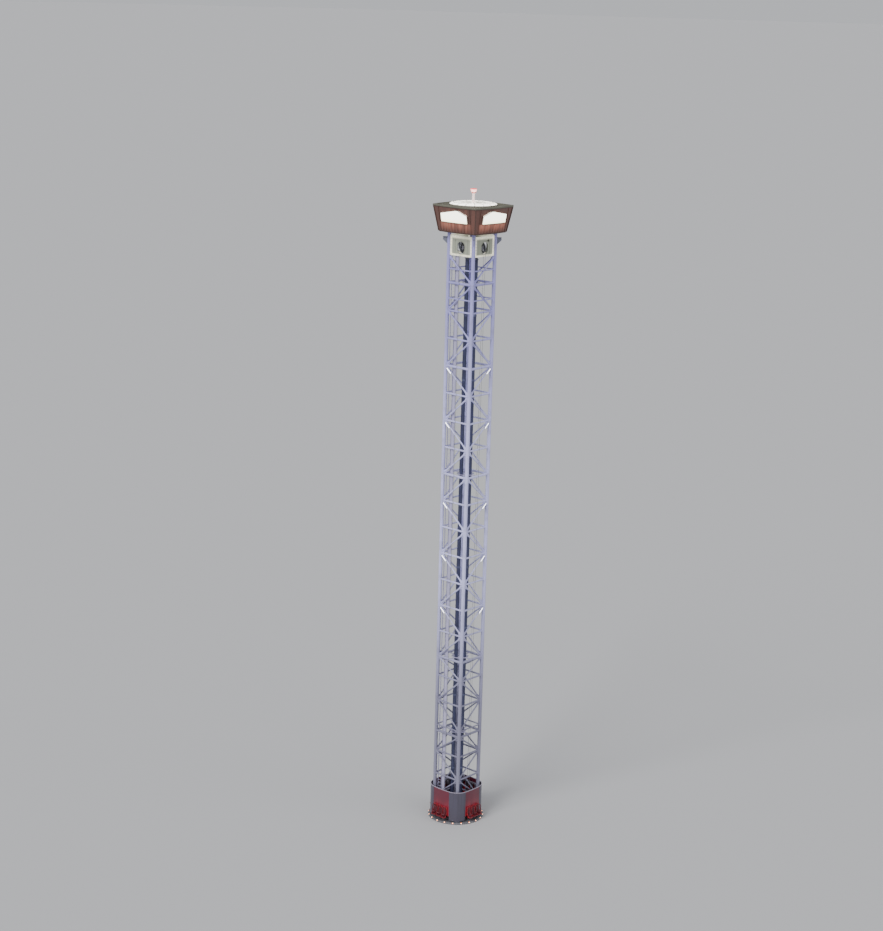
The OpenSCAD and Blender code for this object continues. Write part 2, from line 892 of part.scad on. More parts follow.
// The short mast with its foot flange and top collar
module mast() {
    color(STEEL)
        translate([0, 0, crown_top_z]) {
            cylinder(d = mast_d + 100, h = 16, $fn = fine);
            cylinder(d = mast_d, h = mast_h, $fn = fine);
            translate([0, 0, mast_h - 24])
                cylinder(d = mast_d + 30, h = 24, $fn = fine);
        }
}

// The beacon, a flared lens on the mast
module beacon() {
    r = beacon_d / 2;
    color("red")
        translate([0, 0, crown_top_z + mast_h])
            rotate_extrude($fn = fine)
                polygon([
                    [0, 0],
                    [r * 0.5, 0],
                    [r * 0.62, beacon_h * 0.2],
                    [r, beacon_h * 0.5],
                    [r, beacon_h * 0.82],
                    [r * 0.8, beacon_h],
                    [0, beacon_h]
                ]);
}

// Outline of one corner of the carriage's drum, drawn inwards by m
module corner_outline(m) {
    far = 2 * corner_panel_r;
    intersection() {
        translate([corner_centre, -corner_centre])
            circle(r = corner_arc_r - m, $fn = 180);
        translate([seat_bay_half + m, -far])
            square([far, far - seat_bay_half - m]);
    }
}

// Outline of one side of the carriage's drum, drawn inwards by m
module side_outline(m) {
    far = 2 * side_panel_y;
    intersection() {
        translate([0, side_arc_r - side_panel_y])
            circle(r = side_arc_r - m, $fn = 720);
        translate([-seat_bay_half - m, -far])
            square([2 * (seat_bay_half + m), far]);
    }
}

// Outline of the whole drum, drawn inwards by m
module drum_outline(m) {
    for (i = [0 : 3])
        rotate([0, 0, 90 * i]) {
            side_outline(m);
            corner_outline(m);
        }
}

// One side of the carriage frame: two tubes, posts, ribs, seat arms and the cable's guide prongs
module carriage_side(i) {
    post_w = 40;
    rib_t = 10;
    arm_end = seat_back_y + seat_depth * 0.8;
    prong_w = 20;
    prong_gap = cable_d / 2 + 5;
    prong_end = cable_out - cable_d / 2;
    color(STEEL)
        on_side(i) {
            for (z = [frame_low_z, frame_top_z])
                translate([-split_x, -frame_out, z - frame_tube / 2])
                    cube([2 * split_x, frame_tube, frame_tube]);
            for (x = [-post_x, -seat_pitch / 2, seat_pitch / 2, post_x]) {
                translate([x - post_w / 2, -frame_out, frame_low_z])
                    cube([post_w, post_w, frame_top_z - frame_low_z]);
                translate([0, 0, panel_low_z])
                    linear_extrude(height = frame_top_z - panel_low_z)
                        intersection() {
                            translate([x - rib_t / 2, -2 * frame_out])
                                square([rib_t, frame_out + 10]);
                            translate([0, side_arc_r - side_panel_y])
                                circle(r = side_arc_r - panel_t - seat_gap, $fn = 720);
                        }
            }
            for (k = [0 : seats_per_side - 1])
                translate([(k - (seats_per_side - 1) / 2) * seat_pitch - 20, -arm_end, seat_arm_z])
                    cube([40, arm_end - frame_out + 10, seat_arm_h]);
            for (s = [-1, 1])
                translate([
                    s * (prong_gap + prong_w / 2) - prong_w / 2,
                    -frame_in - 10,
                    frame_top_z - frame_tube / 2
                ])
                    cube([prong_w, frame_in + 10 - prong_end, frame_tube]);
        }
}

// The four corners of the carriage frame, with the brackets and pins of the guide rollers
module carriage_corners() {
    clear = column_r + 16;
    edge = (half * sqrt(2) + clear) * sqrt(2);
    cheek = 10;
    color(STEEL)
        for (c = [0 : 3])
            on_corner(c) {
                for (z = [frame_low_z, frame_top_z])
                    translate([0, 0, z - frame_tube / 2])
                        linear_extrude(height = frame_tube)
                            intersection() {
                                difference() {
                                    translate([split_x, -frame_out])
                                        square([frame_out - split_x, frame_out - split_x]);
                                    polygon([
                                        [0, 0],
                                        [frame_in, 0],
                                        [frame_in, frame_in - edge],
                                        [edge - frame_in, -frame_in],
                                        [0, -frame_in]
                                    ]);
                                }
                                translate([corner_centre, -corner_centre])
                                    circle(r = corner_arc_r - panel_t - seat_gap, $fn = 180);
                            }
                translate([0, 0, frame_low_z])
                    rotate([0, 0, -45])
                        translate([half * sqrt(2) + clear + 4, -30, 0])
                            cube([32, 60, frame_top_z - frame_low_z]);
                for (m = [0, 1], up = [0, 1])
                    mirror([m, m, 0])
                        translate([half, -roller_y, up == 1 ? roller_up_z : roller_low_z])
                            roller_bracket(cheek, up);
            }
}

// Two cheeks and a pin that hold one roller, above or below a frame tube
module roller_bracket(cheek, up) {
    reach = roller_d / 2 + 20;
    depth = roller_y - frame_in - 3;
    inset = 7;
    for (s = [-1, 1])
        translate([
            s * (roller_w / 2 + 3 + cheek / 2) - cheek / 2,
            -(frame_out - roller_y) + inset,
            up == 1 ? -reach : -roller_pin_d
        ])
            cube([cheek, frame_out - roller_y + depth - inset, reach + roller_pin_d]);
    translate([-roller_w / 2 - 3 - cheek - 4, 0, 0])
        rotate([0, 90, 0])
            cylinder(d = roller_pin_d, h = roller_w + 2 * (cheek + 3) + 8, $fn = coarse);
}

// The sixteen guide rollers that run on the columns
module guide_rollers() {
    color(DARK)
        for (c = [0 : 3])
            on_corner(c)
                for (m = [0, 1], z = [roller_low_z, roller_up_z])
                    mirror([m, m, 0])
                        translate([half - roller_w / 2, -roller_y, z])
                            rotate([0, 90, 0])
                                difference() {
                                    cylinder(d = roller_d, h = roller_w, $fn = fine);
                                    translate([0, 0, -1])
                                        cylinder(
                                            d = roller_pin_d + 2 * seat_gap,
                                            h = roller_w + 2,
                                            $fn = coarse
                                        );
                                }
}

// The curved panels behind the seats, one on each side
module side_panels() {
    color(MAROON)
        for (i = [0 : 3])
            on_side(i)
                translate([0, 0, panel_low_z])
                    linear_extrude(height = panel_top_z - panel_low_z)
                        intersection() {
                            difference() {
                                side_outline(0);
                                side_outline(panel_t);
                            }
                            translate([-seat_bay_half + seat_gap, -2 * side_panel_y])
                                square([2 * (seat_bay_half - seat_gap), 2 * side_panel_y]);
                        }
}

// The four curved panels round the carriage's corners, with returns beside the seat bays
module corner_panels() {
    inner_edge = side_panel_y - 70;
    strip = seat_bay_half + 2 * panel_t;
    color(PLUM)
        for (c = [0 : 3])
            on_corner(c)
                translate([0, 0, corner_low_z])
                    linear_extrude(height = panel_top_z - corner_low_z)
                        difference() {
                            corner_outline(0);
                            corner_outline(panel_t);
                            translate([0, -inner_edge]) square([strip, inner_edge]);
                            translate([0, -strip]) square([inner_edge, strip]);
                        }
}

// The rail that caps all panels
module cap_rail() {
    over = (cap_rail_w - panel_t) / 2;
    color(STEEL)
        translate([0, 0, panel_top_z])
            linear_extrude(height = cap_rail_h)
                difference() {
                    drum_outline(-over);
                    drum_outline(panel_t + over);
                }
}

// Depth of the front of a seat's back at height z
function seat_front(z) =
    seat_t + 12 - 10 * (z - seat_t - 25) / (seat_back_h - seat_t - 25);

// One seat shell with side wings: its back stands at y = 0 and it faces -Y
module seat() {
    wing_t = 14;
    rotate([90, 0, -90])
        translate([0, 0, -seat_w / 2])
            linear_extrude(height = seat_w)
                polygon([
                    [0, 0],
                    [seat_depth, 0],
                    [seat_depth, 0.6 * seat_t],
                    [seat_depth - 20, seat_t],
                    [seat_t + 30, seat_t - 6],
                    [seat_t + 12, seat_t + 25],
                    [seat_t + 2, seat_back_h],
                    [seat_t - 12, seat_back_h + seat_t],
                    [0, seat_back_h + seat_t]
                ]);
    for (s = [-1, 1])
        translate([s * (seat_w - wing_t) / 2, 0, 0])
            rotate([90, 0, -90])
                translate([0, 0, -wing_t / 2])
                    linear_extrude(height = wing_t)
                        polygon([
                            [0, 2],
                            [seat_depth - 12, 2],
                            [seat_depth - 10, seat_t + 34],
                            [110, seat_t + 62],
                            [84, seat_t + 110],
                            [72, seat_back_h - 120],
                            [seat_t + 14, seat_back_h],
                            [0, seat_back_h]
                        ]);
}

// Puts a piece at every seat of side i
module at_seats(i) {
    on_side(i)
        for (k = [0 : seats_per_side - 1])
            translate([(k - (seats_per_side - 1) / 2) * seat_pitch, -seat_back_y, seat_z])
                children();
}

// The seats of one side
module seats(i) {
    color(DARK)
        at_seats(i) seat();
}

// One shoulder restraint, closed: two hooked bands, a hinge tube and a lap bar
module restraint() {
    spread = 66;
    band_w = 30;
    band_t = 22;
    bend_r = 58;
    hinge_z = seat_back_h - 90;
    hinge_y = -seat_front(hinge_z) - restraint_d / 2 - seat_gap;
    bend_z = seat_back_h - 50;
    drop = 250;
    for (x = [-spread, spread])
        translate([x - band_w / 2, hinge_y - bend_r, bend_z])
            rotate([90, 0, 90])
                linear_extrude(height = band_w) {
                    difference() {
                        circle(r = bend_r + band_t / 2, $fn = fine);
                        circle(r = bend_r - band_t / 2, $fn = fine);
                        translate([-2 * bend_r, -4 * bend_r])
                            square([4 * bend_r, 4 * bend_r]);
                    }
                    translate([bend_r - band_t / 2, hinge_z - bend_z])
                        square([band_t, bend_z - hinge_z]);
                    translate([-bend_r - band_t / 2, -drop])
                        square([band_t, drop]);
                }
    translate([-spread - 26, hinge_y, hinge_z])
        rotate([0, 90, 0])
            cylinder(d = restraint_d, h = 2 * spread + 52, $fn = coarse);
    translate([-spread - 26, hinge_y - 2 * bend_r, bend_z - drop])
        rotate([0, 90, 0])
            cylinder(d = restraint_d + 24, h = 2 * spread + 52, $fn = coarse);
}

// The restraints of one side
module restraints(i) {
    color(GREY)
        at_seats(i) restraint();
}

plinth();
plinth_lamps();
on_corner(0) column();  // column_front_left
on_corner(1) column();  // column_front_right
on_corner(2) column();  // column_back_right
on_corner(3) column();  // column_back_left
lattice(0);  // lattice_front
lattice(1);  // lattice_right
lattice(2);  // lattice_back
lattice(3);  // lattice_left
air_cylinders();
cylinder_braces();
ladder();
cable_tray();
sheaves(base_sheave_z);  // base_sheaves
base_sheave_stands();
sheaves(head_sheave_z);  // head_sheaves
head_sheave_frame();
hoist_cables();
head_walls();
head_brackets();
flood_lights();
crown_soffit();
crown_wall(0);  // crown_wall_front
crown_wall(1);  // crown_wall_right
crown_wall(2);  // crown_wall_back
crown_wall(3);  // crown_wall_left
crown_corner_trims();
crown_light_boxes();
crown_roof();
roof_light();
mast();
beacon();
carriage_side(0);  // carriage_side_front
carriage_side(1);  // carriage_side_right
carriage_side(2);  // carriage_side_back
carriage_side(3);  // carriage_side_left
carriage_corners();
guide_rollers();
side_panels();
corner_panels();
cap_rail();
seats(0);  // seats_front
seats(1);  // seats_right
seats(2);  // seats_back
seats(3);  // seats_left
restraints(0);  // restraints_front
restraints(1);  // restraints_right
restraints(2);  // restraints_back
restraints(3);  // restraints_left
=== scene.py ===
"""Looks of a drop tower ride, a scale model at 1:2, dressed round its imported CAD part.

All sizes are metres of the model, in the frame of the part: the origin is the middle of
the plinth's underside, +Z is up, the front side faces -Y and the right side faces +X.
"""

from __future__ import annotations

import logging
import math
from collections.abc import Callable, Iterable, Sequence
from dataclasses import dataclass
from enum import Enum

import bpy
from mathutils import Matrix, Vector


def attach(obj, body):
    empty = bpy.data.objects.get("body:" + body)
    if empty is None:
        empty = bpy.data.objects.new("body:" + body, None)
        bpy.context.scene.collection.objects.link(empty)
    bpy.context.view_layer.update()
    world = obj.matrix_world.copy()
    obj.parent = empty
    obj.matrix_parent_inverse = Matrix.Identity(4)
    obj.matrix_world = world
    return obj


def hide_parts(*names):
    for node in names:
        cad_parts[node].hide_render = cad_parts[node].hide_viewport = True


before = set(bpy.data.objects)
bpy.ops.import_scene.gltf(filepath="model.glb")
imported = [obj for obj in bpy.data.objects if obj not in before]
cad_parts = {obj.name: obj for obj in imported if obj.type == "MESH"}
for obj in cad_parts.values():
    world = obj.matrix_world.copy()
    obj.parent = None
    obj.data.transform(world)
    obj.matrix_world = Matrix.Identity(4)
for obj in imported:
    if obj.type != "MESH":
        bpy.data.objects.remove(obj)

LOG = logging.getLogger("drop_tower")

Colour = tuple[float, float, float]
Point = tuple[float, float, float]
Profile = Sequence[tuple[float, float]]
Object = bpy.types.Object
Node = bpy.types.Node
Socket = bpy.types.NodeSocket
FaceTest = Callable[[Vector, Vector], bool]

# Edges that turn by more than this are rounded
SHARP_EDGE = math.radians(28)

# A face looks along an axis when its normal's share of that axis is above this
FACING = 0.9

# How cushions are blown up: the air in them, their cloth, and the steps of the run
AIR = 9.0
STIFFNESS = 5.0
BENDING = 0.1
CLOTH_STEPS = 20

# The distance that stands for being nowhere near a sewn line
FAR = 1.0

# The gap that keeps a new ring off the solid that it lies round
HAIR = 0.0006


class Body(Enum):
    """The two moving bodies of the ride."""

    TOWER = "tower"
    CARRIAGE = "carriage"


class Side(Enum):
    """A side of the square tower, with the quarter turns from the front to it."""

    FRONT = 0
    RIGHT = 1
    BACK = 2
    LEFT = 3

    @property
    def word(self) -> str:
        """The side's name as it stands in node names."""
        return self.name.lower()

    @property
    def turn(self) -> Matrix:
        """The turn about the tower's axis that takes the front side here."""
        return about("Z", self.value * math.pi / 2)


def shift(x: float, y: float, z: float) -> Matrix:
    """A move by x, y and z."""
    return Matrix.Translation((x, y, z))


def about(axis: str, angle: float) -> Matrix:
    """A turn about an axis."""
    return Matrix.Rotation(angle, 4, axis)


def around(count: int, first: float = 0.0) -> list[Matrix]:
    """Turns about Z in equal steps.

    Args:
        count: How many turns make a whole circle.
        first: Where the first one stands, as a share of a step.

    Returns:
        The turns.
    """
    step = 2 * math.pi / count
    return [about("Z", (k + first) * step) for k in range(count)]


def even(low: float, high: float, count: int) -> list[float]:
    """Evenly spaced numbers from low to high, both with them."""
    return [low + (high - low) * k / (count - 1) for k in range(count)]


# Modelling by hand


class Bench:
    """Primitives, edit-mode operators and applied modifiers, on one mesh at a time."""

    @staticmethod
    def clear() -> None:
        """Deselects every object, because an operator acts on all that is selected."""
        bpy.ops.object.select_all(action="DESELECT")

    @staticmethod
    def hold(obj: Object, *others: Object) -> None:
        """Selects these objects alone and makes the first one active.

        Args:
            obj: The object to make active.
            others: More objects to select.
        """
        Bench.clear()
        for each in (obj, *others):
            each.select_set(True)
        bpy.context.view_layer.objects.active = obj

    @staticmethod
    def settle() -> Object:
        """Moves the new primitive's place, turn and size into its mesh.

        Returns:
            The object, at the origin, unturned and unscaled.
        """
        obj = bpy.context.object
        bpy.ops.object.transform_apply(location=True, rotation=True, scale=True)
        return obj

    @staticmethod
    def pick_faces(obj: Object, test: FaceTest) -> None:
        """Selects the faces that pass a test, and nothing else, in edit mode.

        Args:
            obj: The object, in object mode.
            test: Takes a face's centre and normal.
        """
        mesh = obj.data
        mesh.vertices.foreach_set("select", [False] * len(mesh.vertices))
        mesh.edges.foreach_set("select", [False] * len(mesh.edges))
        picked = [bool(test(face.center, face.normal)) for face in mesh.polygons]
        mesh.polygons.foreach_set("select", picked)
        Bench.hold(obj)
        bpy.ops.object.mode_set(mode="EDIT")
        bpy.ops.mesh.select_mode(type="FACE")

    @staticmethod
    def enter() -> None:
        """Goes to edit mode on the active object, with its whole mesh selected."""
        bpy.ops.object.mode_set(mode="EDIT")
        bpy.ops.mesh.select_mode(type="VERT")
        bpy.ops.mesh.select_all(action="SELECT")

    @staticmethod
    def leave() -> None:
        """Goes back from edit mode to object mode."""
        bpy.ops.object.mode_set(mode="OBJECT")

    @staticmethod
    def close(merge: float = 0.0) -> None:
        """Turns all normals outward and leaves edit mode.

        Args:
            merge: Points that lie closer than this become one.
        """
        bpy.ops.mesh.select_all(action="SELECT")
        if merge:
            bpy.ops.mesh.remove_doubles(threshold=merge)
        bpy.ops.mesh.normals_make_consistent(inside=False)
        Bench.leave()

    @staticmethod
    def modify(obj: Object, kind: str, **settings: object) -> Object:
        """Adds a modifier and applies it.

        Args:
            obj: The object.
            kind: The modifier's type.
            settings: Its properties by name.

        Returns:
            The same object.
        """
        Bench.hold(obj)
        made = obj.modifiers.new(kind.lower(), kind)
        for name, value in settings.items():
            setattr(made, name, value)
        bpy.ops.object.modifier_apply(modifier=made.name)
        return obj

    @staticmethod
    def round_edges(obj: Object, width: float, steps: int = 2) -> Object:
        """Bevels all sharp edges.

        Args:
            obj: The object.
            width: The bevel's width.
            steps: The number of segments in it.

        Returns:
            The same object.
        """
        return Bench.modify(
            obj,
            "BEVEL",
            width=width,
            segments=steps,
            limit_method="ANGLE",
            angle_limit=SHARP_EDGE,
        )

    @staticmethod
    def block(size: Point, at: Point, bevel: float = 0.0, steps: int = 2) -> Object:
        """A box with rounded edges.

        Args:
            size: Its size along X, Y and Z.
            at: Its centre.
            bevel: The width of the rounding.
            steps: The number of segments in the rounding.

        Returns:
            The box.
        """
        Bench.clear()
        bpy.ops.mesh.primitive_cube_add(size=1.0, location=at, scale=size)
        obj = Bench.settle()
        return Bench.round_edges(obj, bevel, steps) if bevel else obj

    @staticmethod
    def rod(
        start: Point, end: Point, radius: float, sides: int = 12, bevel: float = 0.0
    ) -> Object:
        """A round bar between two points.

        Args:
            start: The middle of its first end.
            end: The middle of its other end.
            radius: Its radius.
            sides: The number of its sides.
            bevel: The width of the rounding at both ends.

        Returns:
            The bar.
        """
        axis = Vector(end) - Vector(start)
        turn = axis.to_track_quat("Z", "Y").to_euler()
        middle = (Vector(start) + Vector(end)) / 2
        Bench.clear()
        bpy.ops.mesh.primitive_cylinder_add(
            vertices=sides, radius=radius, depth=axis.length, location=middle, rotation=turn
        )
        obj = Bench.settle()
        return Bench.round_edges(obj, bevel, steps=2) if bevel else obj

    @staticmethod
    def stacked(rings: Profile, sides: int, fill: str, merge: float = 0.0) -> Object:
        """A circle extruded and resized ring by ring along Z.

        Args:
            rings: Radius and height of each ring.
            sides: The number of sides.
            fill: Whether the first circle is filled, in the operator's words.
            merge: Points that lie closer than this become one at the end.

        Returns:
            The closed form.
        """
        radius, height = rings[0]
        Bench.clear()
        bpy.ops.mesh.primitive_circle_add(
            vertices=sides, radius=radius, fill_type=fill, location=(0, 0, height)
        )
        obj = Bench.settle()
        Bench.enter()
        for wide, high in rings[1:]:
            bpy.ops.mesh.extrude_region_move(
                TRANSFORM_OT_translate={"value": (0, 0, high - height)}
            )
            if abs(wide - radius) > 1e-9:
                share = wide / radius
                bpy.ops.transform.resize(value=(share, share, 1), center_override=(0, 0, high))
            radius, height = wide, high
        Bench.close(merge)
        return obj

    @staticmethod
    def turned(profile: Profile, sides: int) -> Object:
        """A solid turned form, from radius and height of its rings, from the bottom up."""
        return Bench.stacked(profile, sides, "NGON")

    @staticmethod
    def ring(profile: Profile, sides: int) -> Object:
        """A turned form with a hole, from radius and height of its profile's corners."""
        return Bench.stacked([*profile, profile[0]], sides, "NOTHING", 1e-5)

    @staticmethod
    def split(obj: Object, at: Point, normal: Point, **closing: bool) -> Object:
        """Splits all faces along a plane.

        Args:
            obj: The object.
            at: A point on the plane.
            normal: The plane's normal.
            closing: What else the operator does with the parts.

        Returns:
            The same object.
        """
        Bench.hold(obj)
        Bench.enter()
        bpy.ops.mesh.bisect(plane_co=at, plane_no=normal, **closing)
        Bench.leave()
        return obj

    @staticmethod
    def cut(obj: Object, at: Point, normal: Point) -> Object:
        """Cuts away what lies beyond a plane, on its normal's side, and closes the cut."""
        return Bench.split(obj, at, normal, use_fill=True, clear_outer=True)

    @staticmethod
    def trim(obj: Object, lines: Iterable[tuple[Point, Point]]) -> Object:
        """Cuts a form along lines that are drawn in its Y-Z plane.

        Args:
            obj: The form.
            lines: Two ends of each line, and what lies on its left goes.

        Returns:
            The same object.
        """
        for (y, z), (end_y, end_z) in lines:
            Bench.cut(obj, (0, y, z), (0, z - end_z, end_y - y))
        return obj

    @staticmethod
    def push(obj: Object, test: FaceTest, by: Point) -> Object:
        """Extrudes the faces that pass a test.

        Args:
            obj: The object.
            test: Takes a face's centre and normal.
            by: The way the faces go.

        Returns:
            The same object.
        """
        Bench.pick_faces(obj, test)
        bpy.ops.mesh.extrude_region_move(TRANSFORM_OT_translate={"value": by})
        Bench.leave()
        return obj

    @staticmethod
    def inset(obj: Object, test: FaceTest, width: float) -> Object:
        """Insets the faces that pass a test.

        Args:
            obj: The object.
            test: Takes a face's centre and normal.
            width: How far the new edges lie inside the old ones.

        Returns:
            The same object.
        """
        Bench.pick_faces(obj, test)
        bpy.ops.mesh.inset(thickness=width, depth=0.0)
        Bench.leave()
        return obj

    @staticmethod
    def arc(size: tuple[float, float], radius: float, angle: float, steps: int) -> Object:
        """A bar of rectangular section, bent level round the Z axis from the +X side on.

        Args:
            size: The section's width and height.
            radius: The radius of its middle line.
            angle: The angle that it spans.
            steps: The number of straight parts.

        Returns:
            The bar.
        """
        Bench.clear()
        bpy.ops.mesh.primitive_plane_add(
            size=1.0, location=(radius, 0, 0), rotation=(math.pi / 2, 0, 0)
        )
        obj = bpy.context.object
        obj.scale = (size[0], size[1], 1.0)
        Bench.settle()
        return Bench.spin(obj, angle, steps, (0, 0, 1))

    @staticmethod
    def hoop(radius: float, bend: float, angle: float, steps: int) -> Object:
        """A round tube bent upright round the X axis, from the -Y side up and over.

        Args:
            radius: The tube's radius.
            bend: The radius of its middle line.
            angle: The angle that it spans.
            steps: The number of straight parts.

        Returns:
            The tube.
        """
        Bench.clear()
        bpy.ops.mesh.primitive_circle_add(
            vertices=16, radius=radius, fill_type="NGON", location=(0, -bend, 0)
        )
        obj = Bench.settle()
        return Bench.spin(obj, -angle, steps, (1, 0, 0))

    @staticmethod
    def spin(obj: Object, angle: float, steps: int, axis: Point) -> Object:
        """Sweeps a flat form round an axis through the origin into a closed solid.

        Args:
            obj: The flat form.
            angle: The angle of the sweep.
            steps: The number of steps in it.
            axis: The axis.

        Returns:
            The same object.
        """
        Bench.hold(obj)
        Bench.enter()
        bpy.ops.mesh.spin(steps=steps, angle=-angle, center=(0, 0, 0), axis=axis)
        Bench.close(1e-6)
        return obj

    @staticmethod
    def puff(obj: Object, voxel: float, limit: float, held: Callable[[Vector], bool]) -> Object:
        """Blows a closed form up as cloth with some points held, and keeps the result.

        Args:
            obj: The form, a little smaller than the cushion.
            voxel: The size of the even grid that it is made of first.
            limit: How far a point may move at most.
            held: Takes a point and tells whether it is sewn down.

        Returns:
            The same object.
        """
        Bench.modify(obj, "REMESH", mode="VOXEL", voxel_size=voxel)
        rest = [vertex.co.copy() for vertex in obj.data.vertices]
        group = obj.vertex_groups.new(name="sewn")
        group.add([k for k, co in enumerate(rest) if held(co)], 1.0, "REPLACE")
        cloth = obj.modifiers.new("cloth", "CLOTH")
        cloth.settings.use_pressure = True
        cloth.settings.uniform_pressure_force = AIR
        cloth.settings.tension_stiffness = STIFFNESS
        cloth.settings.compression_stiffness = STIFFNESS
        cloth.settings.bending_stiffness = BENDING
        cloth.settings.vertex_group_mass = group.name
        cloth.settings.effector_weights.gravity = 0.0
        for step in range(1, CLOTH_STEPS + 1):
            bpy.context.scene.frame_set(step)
        bpy.ops.object.modifier_apply(modifier=cloth.name)
        bpy.context.scene.frame_set(1)
        obj.vertex_groups.clear()
        for vertex, start in zip(obj.data.vertices, rest):
            move = vertex.co - start
            if move.length > limit:
                vertex.co = start + move * (limit / move.length)
        obj.data.update()
        return Bench.modify(obj, "SUBSURF", levels=1, render_levels=1)

    @staticmethod
    def stitch(obj: Object, into: Point, width: float, gap: Callable[[Vector], float]) -> Object:
        """Presses grooves into a soft form, as if it was sewn along lines.

        Args:
            obj: The form.
            into: How far and in which direction a line is pressed in.
            width: The width over which a groove rises again.
            gap: Takes a point and gives its distance to the nearest line.

        Returns:
            The same object.
        """
        for vertex in obj.data.vertices:
            share = math.exp(-((gap(vertex.co) / width) ** 2))
            vertex.co += Vector(into) * share
        obj.data.update()
        return obj

    @staticmethod
    def place(obj: Object, matrix: Matrix) -> Object:
        """Moves an object's mesh by a matrix, so that the object stays at the origin.

        Args:
            obj: The object.
            matrix: The move.

        Returns:
            The same object.
        """
        obj.data.transform(matrix)
        if matrix.determinant() < 0:
            obj.data.flip_normals()
        obj.data.update()
        return obj

    @staticmethod
    def twin(obj: Object, matrix: Matrix) -> Object:
        """A copy of an object with its own mesh, moved by a matrix.

        Args:
            obj: The object.
            matrix: The copy's place.

        Returns:
            The copy.
        """
        other = obj.copy()
        other.data = obj.data.copy()
        bpy.context.collection.objects.link(other)
        return Bench.place(other, matrix)

    @staticmethod
    def join(parts: Sequence[Object]) -> Object:
        """Joins objects into the first of them.

        Args:
            parts: The objects.

        Returns:
            The joined object.
        """
        Bench.hold(*parts)
        if len(parts) > 1:
            bpy.ops.object.join()
        return parts[0]

    @staticmethod
    def spread(obj: Object, places: Iterable[Matrix]) -> Object:
        """Copies one object to many places, as a single joined object.

        Args:
            obj: The object to copy, which is used up.
            places: Where each copy goes.

        Returns:
            The joined copies.
        """
        copies = [Bench.twin(obj, place) for place in places]
        bpy.data.objects.remove(obj)
        return Bench.join(copies)


# Finishes


class Graph:
    """Adds and links the nodes of one shader tree."""

    def __init__(self, tree: bpy.types.NodeTree) -> None:
        """Keeps the tree."""
        self.tree = tree

    def node(self, kind: str, **settings: object) -> Node:
        """Adds a node.

        Args:
            kind: The node's type.
            settings: Its properties by name.

        Returns:
            The node.
        """
        made = self.tree.nodes.new(kind)
        for name, value in settings.items():
            setattr(made, name, value)
        return made

    def link(self, source: Socket, target: Socket) -> None:
        """Links an output to an input."""
        self.tree.links.new(source, target)

    def feed(self, target: Socket, value: object) -> None:
        """Sets an input to a number or colour, or links it if the value is an output.

        Args:
            target: The input.
            value: A number, a colour or another node's output.
        """
        if isinstance(value, bpy.types.NodeSocket):
            self.link(value, target)
        elif isinstance(value, tuple) and len(value) == 3 and target.type == "RGBA":
            target.default_value = (*value, 1.0)
        else:
            target.default_value = value

    def maths(self, operation: str, *values: object) -> Socket:
        """Adds a Math node.

        Args:
            operation: The operation's name.
            values: Its numbers or the outputs that feed it.

        Returns:
            Its output.
        """
        made = self.node("ShaderNodeMath", operation=operation)
        for target, value in zip(made.inputs, values):
            self.feed(target, value)
        return made.outputs[0]

    def times(self, first: object, second: object) -> Socket:
        """The product of two values."""
        return self.maths("MULTIPLY", first, second)

    def plus(self, first: object, second: object) -> Socket:
        """The sum of two values."""
        return self.maths("ADD", first, second)

    def size(self, value: object) -> Socket:
        """A value without its sign."""
        return self.maths("ABSOLUTE", value)

    def ramp(self, value: Socket, low: float, high: float, out: tuple[float, float]) -> Socket:
        """Maps a value softly from one range to another.

        Args:
            value: The value.
            low: Where the range starts.
            high: Where the range ends.
            out: The results at both ends.

        Returns:
            The mapped value.
        """
        made = self.node("ShaderNodeMapRange", interpolation_type="SMOOTHSTEP")
        for target, number in zip(made.inputs, (value, low, high, *out)):
            self.feed(target, number)
        return made.outputs[0]

    def noise(self, vector: Socket, scale: float, detail: float = 4.0) -> Socket:
        """Adds a noise texture and returns its value.

        Args:
            vector: Where the noise is read.
            scale: How fine it is.
            detail: How many finer layers it has.

        Returns:
            The noise, from 0 to 1.
        """
        made = self.node("ShaderNodeTexNoise")
        self.feed(made.inputs["Vector"], vector)
        made.inputs["Scale"].default_value = scale
        made.inputs["Detail"].default_value = detail
        return made.outputs[0]

    def stretch(self, vector: Socket, scale: Point) -> Socket:
        """Scales a vector along each axis.

        Args:
            vector: The vector.
            scale: The factor of each axis.

        Returns:
            The scaled vector.
        """
        made = self.node("ShaderNodeMapping")
        self.feed(made.inputs["Vector"], vector)
        made.inputs["Scale"].default_value = scale
        return made.outputs[0]

    def mix(self, factor: object, first: object, second: object) -> Socket:
        """Mixes two colours.

        Args:
            factor: The share of the second colour.
            first: The first colour.
            second: The second colour.

        Returns:
            The mixed colour.
        """
        made = self.node("ShaderNodeMix", data_type="RGBA")
        self.feed(made.inputs["Factor"], factor)
        self.feed([s for s in made.inputs if s.name == "A" and s.type == "RGBA"][0], first)
        self.feed([s for s in made.inputs if s.name == "B" and s.type == "RGBA"][0], second)
        return [s for s in made.outputs if s.type == "RGBA"][0]

    def apart(self, vector: Socket) -> Sequence[Socket]:
        """The X, Y and Z of a vector.

        Args:
            vector: The vector.

        Returns:
            Its three parts.
        """
        made = self.node("ShaderNodeSeparateXYZ")
        self.feed(made.inputs[0], vector)
        return made.outputs

    def on_side(self, vector: Socket) -> tuple[Socket, Socket]:
        """How far a point lies from the middle of its side of the tower, and its height.

        Args:
            vector: The point.

        Returns:
            The way off the middle and the height.
        """
        x, y, height = self.apart(vector)
        off = self.maths("MINIMUM", self.size(x), self.size(y))
        return off, height


